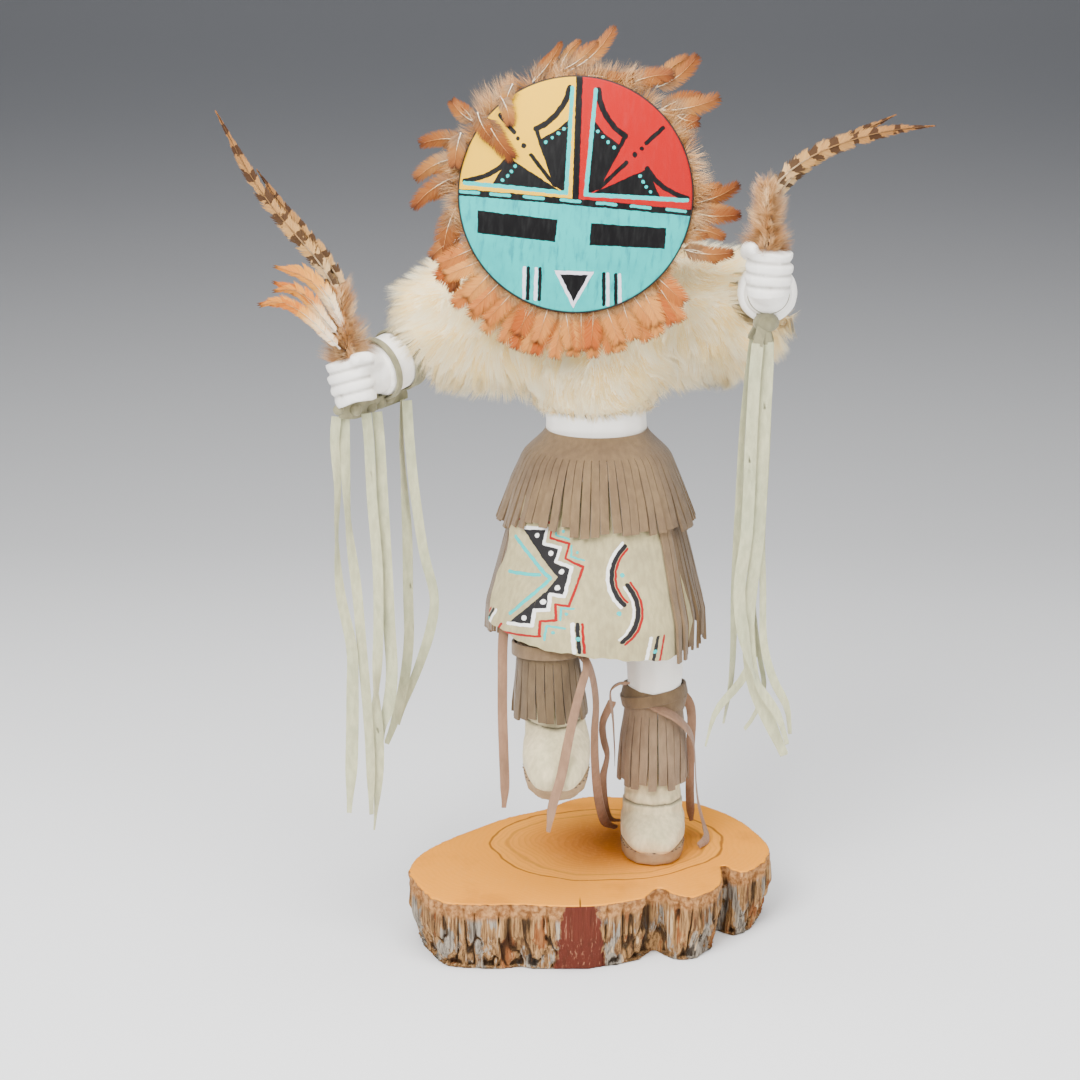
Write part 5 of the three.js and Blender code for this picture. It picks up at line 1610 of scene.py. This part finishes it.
@dataclass
class Mantle:
    """The cape of rabbit fur: a hide under three coats of clumped hair."""

    sink: float = 0.004
    hairs: int = 34000
    clumps: int = 900
    length: float = 11.5
    seed: int = 21

    def comb(self, point: Vector, normal: Vector) -> Vector:
        """Returns the direction that the hair lies in at a point."""
        side = 1.0 if point.x > 0 else -1.0
        along = Vector((side * ease(abs(point.x), 0.02, 0.06), 0, 0))
        flow = Vector((0, 0, -1.0)) + along * 0.55 + noise_vector(point * 45) * 1.3
        flow = flow - normal * flow.dot(normal)
        return (flow.normalized() * 0.68 + normal * 0.64).normalized()

    def coat(self, points: np.ndarray, normals: np.ndarray, name: str, rng: Rng) -> Object:
        """Grows one coat of hair from roots on the hide."""
        hairs = Strands(cuts=0)
        tree = KDTree(self.clumps)
        leads = []
        for k, (centre, normal) in enumerate(zip(points[:self.clumps], normals)):
            root, up = Vector(centre), Vector(normal)
            tree.insert(root, k)
            leads.append((root + self.comb(root, up) * self.reach(root) * rng.uniform(0.85, 1.2), rng.random()))
        tree.balance()
        for point, normal in zip(points, normals):
            root, up = Vector(point), Vector(normal)
            lead, tint = leads[tree.find(root)[1]]
            reach = self.reach(root) * rng.uniform(0.6, 1.1)
            tip = (root + self.comb(root, up) * reach).lerp(lead, rng.uniform(0.1, 0.6))
            wide = up.cross(tip - root).normalized() * 0.000155
            tint = min(1.0, max(0.0, tint + rng.uniform(-0.3, 0.3)))
            shade = (up + (tip - root).normalized() * 0.35).normalized()
            hairs.add(root - up * 0.0006, root.lerp(tip, 0.5), tip, wide, 0.00009, (0, 1), tint, 0, shade)
        coat = new_object(name, hairs.mesh(name))
        coat.visible_shadow = False
        return coat

    def reach(self, root: Vector) -> float:
        """Returns the length of the hair at a root: it is shorn close at the waist."""
        return self.length * MM * lerp(0.35, 1.0, ease(root.z, 0.266, 0.290))

    def build(self) -> None:
        """Builds the hide and its coats."""
        skin = new_object("fur_hide", remeshed(cad_bmesh("fur_mantle"), 0.003, 8, -self.sink))
        dress(skin, ["fur_mantle"], "fur", UNDERFUR.material())
        spread = np.random.default_rng(self.seed)
        points, normals = scatter_on(skin, round(self.hairs * 3.3), spread)
        fur = FUR.material()
        rng = Rng(self.seed)
        parts = {"fur_right_sleeve": points[:, 0] < -0.038, "fur_left_sleeve": points[:, 0] > 0.036}
        parts["fur_chest"] = ~(parts["fur_right_sleeve"] | parts["fur_left_sleeve"])
        for name, chosen in parts.items():
            coat = self.coat(points[chosen][:self.hairs], normals[chosen][:self.hairs], name, rng)
            dress(coat, ["fur_mantle"], "fur", fur)


def skirt_point(angle: float, height: float, out: float, knee: float = 0.0) -> Vector:
    """Returns a point on the kilt.

    Args:
        angle: the angle round the waist in radians.
        height: the height in millimetres.
        out: the distance out from the innermost hide in millimetres.
        knee: how far the raised knee pushes the hide out, in millimetres.
    """
    rows = ((140, 53.4, 50), (171, 53, 50), (208, 44, 42), (234, 35.7, 34), (250, 29, 27.5), (256, 26.3, 25),
            (263, 22.4, 20.4))
    width, depth = read_table(rows, height)
    push = knee * max(0.0, cos(angle + radians(122))) ** 3 * min(1.0, max(0.0, (208 - height) / 35))
    return Vector((3 + (width + out + push * 0.3) * cos(angle), (depth + out + push) * sin(angle),
                   height)) * MM


@dataclass
class Kilt:
    """The kilt: a long fringe, a painted apron over it, and a short fringe from the waist."""

    long_strips: int = 52
    short_strips: int = 58
    apron_edge: tuple[Row, ...] = (
        (-142, 242), (-151, 215), (-149, 205), (-153, 192), (-154, 180), (-150, 171), (-120, 164.5), (-95, 161),
        (-72, 157), (-52, 155), (-37, 158), (-33, 170), (-36, 190), (-40, 208), (-44, 242))
    seed: int = 31

    def fringes(self, suede: Material) -> None:
        """Builds the long and the short fringe."""
        rng = Rng(self.seed)
        droops = [lerp(155, 160, k / self.long_strips) + rng.uniform(-3, 3) for k in range(self.long_strips)]
        long = Hide(-50, 215, self.long_strips, 254, 30, droops.__getitem__,
                    lambda a, h, out: skirt_point(a, h, out + 1.2 + 4.9 * (1 - ease(degrees(a), -42, -34))
                                                  * ease(246 - h, 0, 20)),
                    seed=self.seed, rows=26).build("long_fringe")
        dress(long, ["kilt_long_fringe"], "suede", suede)
        front = [max(0.0, sin(radians(k / self.short_strips * 358 - 90))) for k in range(self.short_strips)]
        turns = [92 + 358 * k / self.short_strips for k in range(self.short_strips)]
        ends = [214.5 + 3.5 * lean + rng.uniform(-2, 2) + 4.5 * exp(-((turn - 232) / 16) ** 2)
                for lean, turn in zip(front, turns)]
        short = Hide(92, 450, self.short_strips, 261, 9, ends.__getitem__,
                     lambda a, h, out: skirt_point(a, h, out + lerp(7.2, 1.6, ease(h, 247, 260))),
                     seed=self.seed + 1, rows=18, twist=14).build("short_fringe")
        dress(short, ["kilt_short_fringe"], "suede", suede)

    def apron(self) -> None:
        """Builds the apron hide."""
        left = sorted((height, angle) for angle, height in self.apron_edge[:6])
        right = [(height, angle) for angle, height in self.apron_edge[10:]]
        hem = self.apron_edge[5:11]
        bm = bmesh.new()
        bmesh.ops.create_grid(bm, x_segments=72, y_segments=48, size=0.5)
        for vert in bm.verts:
            across, up = vert.co.x + 0.5, vert.co.y + 0.5
            guess = lerp(-150, -38, across)
            low = read_table(hem, guess)[0] + 0.4 * sin(guess * 0.35) + 0.25 * sin(guess * 0.83)
            height = lerp(low, 242, up)
            ragged = 0.7 * sin(height * 0.22) + 0.25 * sin(height * 0.6 + 1)
            start = read_table(left, height)[0] + ragged
            angle = radians(lerp(start, read_table(right, height)[0] + ragged * 0.6, across))
            slack = 1 - ease(up, 0.2, 0.75)
            wave = (1.1 * sin(angle * 5.2 + 0.6) + 0.5 * sin(angle * 11 + height * 0.04)) * slack
            lift = 3.5 * ease(-degrees(angle), 126, 150)
            vert.co = skirt_point(angle, height, 3.9 + wave + lift, 8)
        bmesh.ops.recalc_face_normals(bm, faces=bm.faces[:])
        hide = thickened("painted_apron", bm, 1.3)
        dress(hide, ["apron"], "apron_suede", ApronPaint().material(0.945))

    def build(self) -> None:
        """Builds the kilt."""
        self.fringes(TAUPE.material())
        self.apron()


@dataclass
class Legwear:
    """The cuffs, leg bands and moccasins."""

    right_cuff: tuple[Row, ...] = ((123, -20, -34, 17), (140, -20.8, -34, 15.6), (163, -21.5, -35, 13.4))
    left_cuff: tuple[Row, ...] = ((74, 33, 4, 16.6), (100, 33, 3.4, 15.4), (122, 33, 1.4, 12.8))
    strips: int = 23
    stitches: int = 52
    right_foot: Row = (-17, -38, 100.5, 16)
    left_foot: Row = (33, 4, 42.5, 0)
    seam: float = 22.2
    rand_rise: float = 1.45
    seed: int = 41

    def cuff(self, name: str, node: str, rows: tuple[Row, ...], opening: float, suede: Material) -> None:
        """Builds one fringed cuff round a leg, which meets at the opening's angle in degrees."""
        rng = Rng(self.seed + len(node))
        hems = [rows[0][0] + rng.uniform(-1.0, 3.2) for _ in range(self.strips)]

        def surface(angle: float, height: float, out: float) -> Vector:
            """Returns a point on the cuff."""
            x, y, radius = read_table(rows, height)
            reach = radius + out + 1.2
            return Vector((x + reach * cos(angle), y + reach * sin(angle), height)) * MM
        top = rows[-1][0]
        piece = Hide(opening, opening + 359, self.strips, top, 9, hems.__getitem__, surface, seed=self.seed, rows=16,
                     twist=10, sway=0.08, flare=1.2).build(name)
        dress(piece, [node], "suede", suede)

    def hoops(self, name: str, node: str, turns: Sequence[tuple], suede: Material) -> None:
        """Builds the flat turns of a leg band; each turn has a centre, a radius, a lean and a width."""
        bm = bmesh.new()
        for centre, radius, lean, width in turns:
            axis = Vector((sin(radians(lean)), 0.1, cos(radians(lean)))).normalized()
            flat_turn(bm, Vector(centre) * MM, axis, radius * MM, width * MM, 1.2 * MM)
        dress(new_object(name, crisp(to_mesh(name, bm))), [node], "suede", suede)

    def upper(self, name: str, node: str, sole: Row, suede: Material, shaft: tuple[Row, Row]) -> None:
        """Builds a moccasin upper, softened and gently creased, with its shaft run on up under the cuff."""
        bm = cad_bmesh(node)
        foot, knee = (Vector(end) * MM for end in shaft)
        turn = (knee - foot).to_track_quat("Z", "Y").to_matrix().to_4x4()
        bmesh.ops.create_cone(bm, cap_ends=True, segments=40, radius1=0.0142, radius2=0.0128,
                              depth=(knee - foot).length, matrix=Matrix.Translation((foot + knee) / 2) @ turn)
        mesh = remeshed(bm, 0.001, 12, 0.0004)
        groove_shade_and_soil = []
        place = moved(sole[:3]) @ Matrix.Rotation(radians(sole[3]), 4, "X")
        back = place.inverted()
        low, high = (Vector(corner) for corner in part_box(node))
        for vert, normal in zip(mesh.vertices, normals_of(mesh)):
            share = (vert.co.z - low.z) / (high.z - low.z)
            crease = exp(-((share - 0.72) / 0.04) ** 2) * 0.0007
            lumps = noise(vert.co * 70) * 0.0005
            above = (back @ vert.co).z - self.seam * MM
            front = 1 - ease((back @ vert.co).y, 0.002, 0.010)
            groove = exp(-(above / 0.0007) ** 2) * front
            vamp = (1 - ease(above, -0.0009, 0.0)) * 0.0006 * front
            vert.co -= normal * (crease * (0.7 + noise(vert.co * 40)) - lumps - vamp + groove * 0.0012)
            blotch = ease(noise(vert.co * 110 + Vector((9, 0, 0))), 0.1, 0.4) * ease(above, -0.001, 0.001)
            # A dark line along the seam's groove is painted shade; the blotches are dirt.
            groove_shade_and_soil.append(min(1.0, exp(-(above / 0.0005) ** 2) * front + 0.35 * blotch))
            low_down = back @ vert.co
            full = 1 + 0.06 * (1 - ease(low_down.z, 0.002, 0.009))
            vert.co = place @ Vector((low_down.x * full, low_down.y * full, low_down.z))
        store(mesh, "groove_shade_and_soil", groove_shade_and_soil)
        dress(new_object(name, mesh), [node], "pale_suede", suede)

    def sole(self, name: str, node: str, sole: Row, rand: Material, thread: Material) -> None:
        """Builds a rand and sole with a line of stitches round it."""
        plate = cad_bmesh(node)
        place = moved(sole[:3]) @ Matrix.Rotation(radians(sole[3]), 4, "X")
        back = place.inverted()
        low = min((back @ vert.co).z for vert in plate.verts)
        for vert in plate.verts:
            x, y, z = back @ vert.co
            trim = 0.965 if z - low < 0.002 else 0.955
            vert.co = place @ Vector((x * trim, y * (trim - 0.01), low + (z - low) * self.rand_rise))
        piece = new_object(name, remeshed(plate, 0.0011, 5, 0.0001))
        tree = BVHTree.FromObject(piece, bpy.context.evaluated_depsgraph_get())
        bm = bmesh.new()
        bm.from_mesh(piece.data)
        for k in range(self.stitches):
            turn = tau * k / self.stitches
            away = Vector((cos(turn), sin(turn), 0))
            start = place @ (away * 0.06 + Vector((0, 0, self.rand_rise * 0.007 - 0.0088)))
            hit, normal, _, _ = tree.ray_cast(start, (place.to_3x3() @ -away).normalized())
            if hit is None:
                continue
            side = (place.to_3x3() @ Vector((-away.y, away.x, 0))).normalized()
            grip = Matrix.Translation(hit) @ side.to_track_quat("X", "Z").to_matrix().to_4x4()
            stitch = bmesh.ops.create_icosphere(bm, subdivisions=1, radius=1,
                                                matrix=grip @ Matrix.Diagonal((0.0011, 0.00036, 0.00036, 1)))
            for face in {face for vert in stitch["verts"] for face in vert.link_faces}:
                face.material_index = 1
        old = piece.data
        piece.data = to_mesh(name, bm)
        bpy.data.meshes.remove(old)
        dress(piece, [node], "rand", rand, thread)

    def build(self) -> None:
        """Builds everything on the legs."""
        suede, green = TAUPE.material(), GREEN.material()
        # The right cuff takes the shaded copy of the kilt suede and the left cuff the lit copy: painted shade and
        # light.
        self.cuff("right_cuff", "right_leg_cuff", self.right_cuff, 92, SHADED_CUFF_SUEDE.material())
        self.cuff("left_cuff", "left_leg_cuff", self.left_cuff, -84, LIT_CUFF_SUEDE.material())
        self.hoops("right_band", "right_leg_band", [((-21.2, -35, 158.5), 16.6, 0, 6.4)], suede)
        self.hoops("left_band", "left_leg_band", [((33, 1.6, 120.5), 15.4, 11, 7.4), ((33, 1.6, 121.5), 16, -12, 6)],
                   suede)
        self.upper("right_upper", "right_moccasin", self.right_foot, green, ((-19.2, -34, 122), (-20.6, -34.2, 138)))
        self.upper("left_upper", "left_moccasin", self.left_foot, green, ((33, 3.9, 76), (33, 2.2, 113)))
        rand = Rand().material()
        thread = Suede("stitch thread", "5c4a3e", "3f322b", 0.5).material()
        self.sole("right_rand", "right_moccasin_sole", self.right_foot, rand, thread)
        self.sole("left_rand", "left_moccasin_sole", self.left_foot, rand, thread)


def flat_turn(bm: BMesh, centre: Vector, axis: Vector, radius: float, width: float, thick: float) -> None:
    """Adds one closed flat turn of thong round an axis, in metres."""
    half, rim = width / 2, radius + thick
    edge = [(radius, half), (rim - thick * 0.35, half), (rim - thick * 0.08, half - thick * 0.12),
            (rim, half - thick * 0.5)]
    outline = [*edge, *((r, -h) for r, h in reversed(edge))]
    place = Matrix.Translation(centre) @ axis.to_track_quat("Z", "Y").to_matrix().to_4x4()
    verts = [bm.verts.new(place @ Vector((r, 0, h))) for r, h in outline]
    edges = [bm.edges.new(pair) for pair in zip(verts, [*verts[1:], verts[0]])]
    bmesh.ops.spin(bm, geom=verts + edges, cent=centre, axis=axis, angle=tau, steps=64, use_merge=True)


@dataclass
class Wraps:
    """The thongs wound round the wrists."""

    forearm: float = 14.3
    right_fist: Fist = Carving.right_fist
    left_fist: Fist = Carving.left_fist

    def right(self, suede: Material) -> None:
        """Builds the two turns on the right wrist and the knotted length between them."""
        bm = bmesh.new()
        axis, wrist = self.right_fist.joint()
        for back in (19.4, 17.6, 15.8, 14.0):
            flat_turn(bm, wrist - axis * back * MM, axis, self.forearm * MM + 0.0003, 0.0018, 0.0012)
        flat_turn(bm, wrist - axis * 0.0022, axis, self.forearm * MM + 0.0003, 0.0034, 0.0012)
        link = Strip(((-90.6, -0.6, 281.2), (-96, -6.5, 279.6), (-101.2, -11.5, 278.2), (-107, -19, 277.4),
                      (-114, -25.5, 276.8), (-122, -30, 277.6)), 6.2, 2.4, (0, 0, 1),
                     twists=((0, 0), (0.5, 40), (1, -30)), pointed=0.9)
        link.add_to(bm)
        for x, y, z, r in ((-103, -14, 276.6, 3.2), (-107, -18.5, 275.6, 3.0), (-114, -25.5, 275.6, 3.1),
                           (-122, -30, 276.6, 2.6), (-98.5, -9, 278, 2.8)):
            ball(bm, (x, y, z), r)
        dress(new_object("right_wrap", to_mesh("right_wrap", bm)), ["right_wrist_wrap"], "pale_suede", suede)

    def left(self, suede: Material) -> None:
        """Builds the turns behind the left fist and the gathered ends below it."""
        bm = bmesh.new()
        axis, wrist = self.left_fist.joint()
        for ahead, radius in ((2.6, 9.2), (4.8, 9.0)):
            flat_turn(bm, wrist + axis * ahead * MM, axis, radius * MM, 0.0026, 0.0011)
        for k, (x, y) in enumerate(((75.6, -37), (77.2, -52), (82, -49), (83, -45.5), (80, -42.4), (78, -39.2))):
            route = ((82 - k * 0.6, -42, 326), (lerp(x, 81, 0.5), lerp(y, -43, 0.5), 320), (x, y, 314))
            strand = Strip(route, 4.6, 1.5,
                           twists=((0, 30 * k), (1, 10)), pointed=1.0)
            strand.add_to(bm)
        bmesh.ops.create_icosphere(bm, subdivisions=3, radius=1,
                                   matrix=moved((81.5, -43, 322)) @ Matrix.Diagonal((0.0062, 0.0058, 0.0048, 1)))
        dress(new_object("left_wrap", to_mesh("left_wrap", bm)), ["left_wrist_wrap"], "pale_suede", suede)

    def build(self) -> None:
        """Builds both wraps."""
        # Painted shade: a darker copy of the pale thong suede, for the wraps at the wrists.
        suede = Suede("shaded wrap suede", "8f8a6c", "6f6a52", 0.7).material()
        self.right(suede)
        self.left(suede)


@dataclass
class HeldFeathers:
    """The feathers and down held in the hands."""

    right_tails: tuple[tuple[Row, ...], ...] = (
        ((-119, -25.5, 324), (-124, -25.5, 337), (-130, -26, 348), (-140, -26, 360), (-152, -26, 375), (-163, -26, 392),
         (-170, -26, 406), (-176, -26, 418)),
        ((-117, -22, 324), (-120, -21.5, 336), (-126, -21.5, 347), (-136, -21.5, 360), (-147, -21.5, 374),
         (-158, -21.5, 390)))
    left_tails: tuple[tuple[Row, ...], ...] = (
        ((78, -60, 381), (86, -60, 393), (100, -60.5, 403), (116, -61, 409.5), (134, -61, 414), (153, -61, 416)),
        ((82, -54.5, 380), (92, -54.5, 393.5), (106, -55, 404), (121, -55.5, 412.5), (136, -56, 420)))
    hackles: tuple[tuple[Row, ...], ...] = (
        ((-118, -30, 315), (-121, -32, 323), (-127, -33, 334), (-136, -34, 343), (-147, -34, 346)),
        ((-121, -33, 314), (-126, -36.5, 321), (-133, -37.5, 331), (-141, -38, 336.5), (-149, -38, 338.5)),
        ((-120, -36, 308), (-126, -41, 316), (-134, -42, 325), (-145, -42.5, 331), (-157, -42.5, 331)))
    hairs: int = 6200
    seed: int = 51

    def tail(self, name: str, node: str, route: tuple[Row, ...], width: float, rng: Rng,
             materials: Sequence[Material]) -> None:
        """Builds one long tail feather."""
        strands = Strands()
        spine = smooth_path(route, 16)

        def share(t: float) -> float:
            """Returns the vane's width at a share of its length, with nicks."""
            nick = ease(noise(Vector((t * 17, route[0][0], 0))), 0.15, 0.3)
            return min(1, 0.5 + 2 * t) * (1 - 0.6 * t ** 5) * (1 - 0.3 * nick)

        Feather(spine, Vector((0, -1, 0.1)).normalized(), width * MM, share, barbs=210, slant=0.78, ragged=0.06,
                droop=0.04, barb_width=0.00045).grow(strands, rng, 0.0006)
        dress(new_object(name, strands.mesh(name)), [node], "barred_feather", *materials)

    def down(self, name: str, node: str, ends: tuple[Row, Row], girth: tuple[float, float], rng: Rng,
             material: Material) -> None:
        """Builds a tuft of down round a grip, from one end to the other, with the girth in millimetres at each."""
        strands = Strands(pointed=True)
        low, high = (Vector(end) * MM for end in ends)
        axis = (high - low).normalized()
        for _ in range(self.hairs):
            share = rng.random() ** 1.2
            around = rng.uniform(0, tau)
            away = (axis.orthogonal().normalized() * cos(around)
                    + axis.cross(axis.orthogonal()).normalized() * sin(around))
            core = low.lerp(high, share)
            lock = noise(away * 2.4 + core * 120)
            reach = lerp(*girth, share) * (0.8 + 0.55 * lock) * rng.uniform(0.75, 1.15) * MM
            root = core + away * reach * rng.uniform(0.05, 0.45)
            lean = 0.25 + 0.6 * noise(away * 2 + core * 90) + 0.5 * share
            tip = core + away * reach + axis * reach * lean
            bend = root.lerp(tip, 0.5) + noise_vector(root * 300) * 0.003
            shade = (away + axis * 0.3 + Vector((0, -0.2, 0.2))).normalized()
            start = 0.25 + 0.45 * noise(core * 160 + away * 1.5)
            strands.add(root, bend, tip, away.cross(axis) * 0.00014, 0.0001,
                        (max(0.0, start), min(1.0, start + 0.5)), rng.random(), 0, shade)
        dress(new_object(name, strands.mesh(name)), [node], "fluff", material)

    def build(self) -> None:
        """Builds all the held feathers."""
        rng = Rng(self.seed)
        vane, quill, down, hackle = PHEASANT.material(), QUILL.material(), DOWN.material(), HACKLE.material()
        shaft = SHAFT.material()
        for side, tails in (("right", self.right_tails), ("left", self.left_tails)):
            for k, route in enumerate(tails):
                self.tail(f"{side}_tail_{k + 1}", f"{side}_tail_feather_{k + 1}", route, 6.6 - 1.2 * k, rng,
                          (vane, shaft))
        for k, route in enumerate(self.hackles):
            strands = Strands()
            for _ in range(2):
                points = [Vector(p) + Vector([rng.uniform(-1, 1) for _ in range(3)]) * (0.3 + 0.5 * i)
                          for i, p in enumerate(route)]
                Feather(smooth_path(points, 9), Vector((0, -1, 0.1)), 5.2 * MM,
                        lambda t: min(1, 0.55 + t) * (1 - 0.5 * ease(t, 0.7, 1)), barbs=96, slant=0.8, ragged=0.06,
                        barb_width=0.00042, along=(0.0, 0.95), close=0.6).grow(strands, rng, 0.0004)
            name = f"hackle_{k + 1}"
            dress(new_object(name, strands.mesh(name)), [f"right_hackle_{k + 1}"], "hackle_feather", hackle, quill)
        self.down("right_down", "right_hand_tuft", ((-116, -27, 299), (-122, -25.5, 334)), (14.5, 8), rng, down)
        self.down("left_down", "left_hand_tuft", ((80, -57, 357), (79, -58.5, 390)), (14.5, 6.5), rng, down)


# ---------------------------------------------------------------- the doll


def main() -> None:
    """Builds the doll."""
    logging.basicConfig(level=logging.INFO, format="%(name)s: %(message)s")
    seed_set(NOISE_SEED)
    studio = Studio()
    studio.camera()
    THONGS.build()
    mask = Mask()
    for part in (Slab(), Carving(), mask, Ruff(mask), Mantle(), Kilt(), Legwear(), Wraps(), HeldFeathers(), studio):
        log.info("building %s", type(part).__name__)
        part.build()


if __name__ == "__main__":
    main()
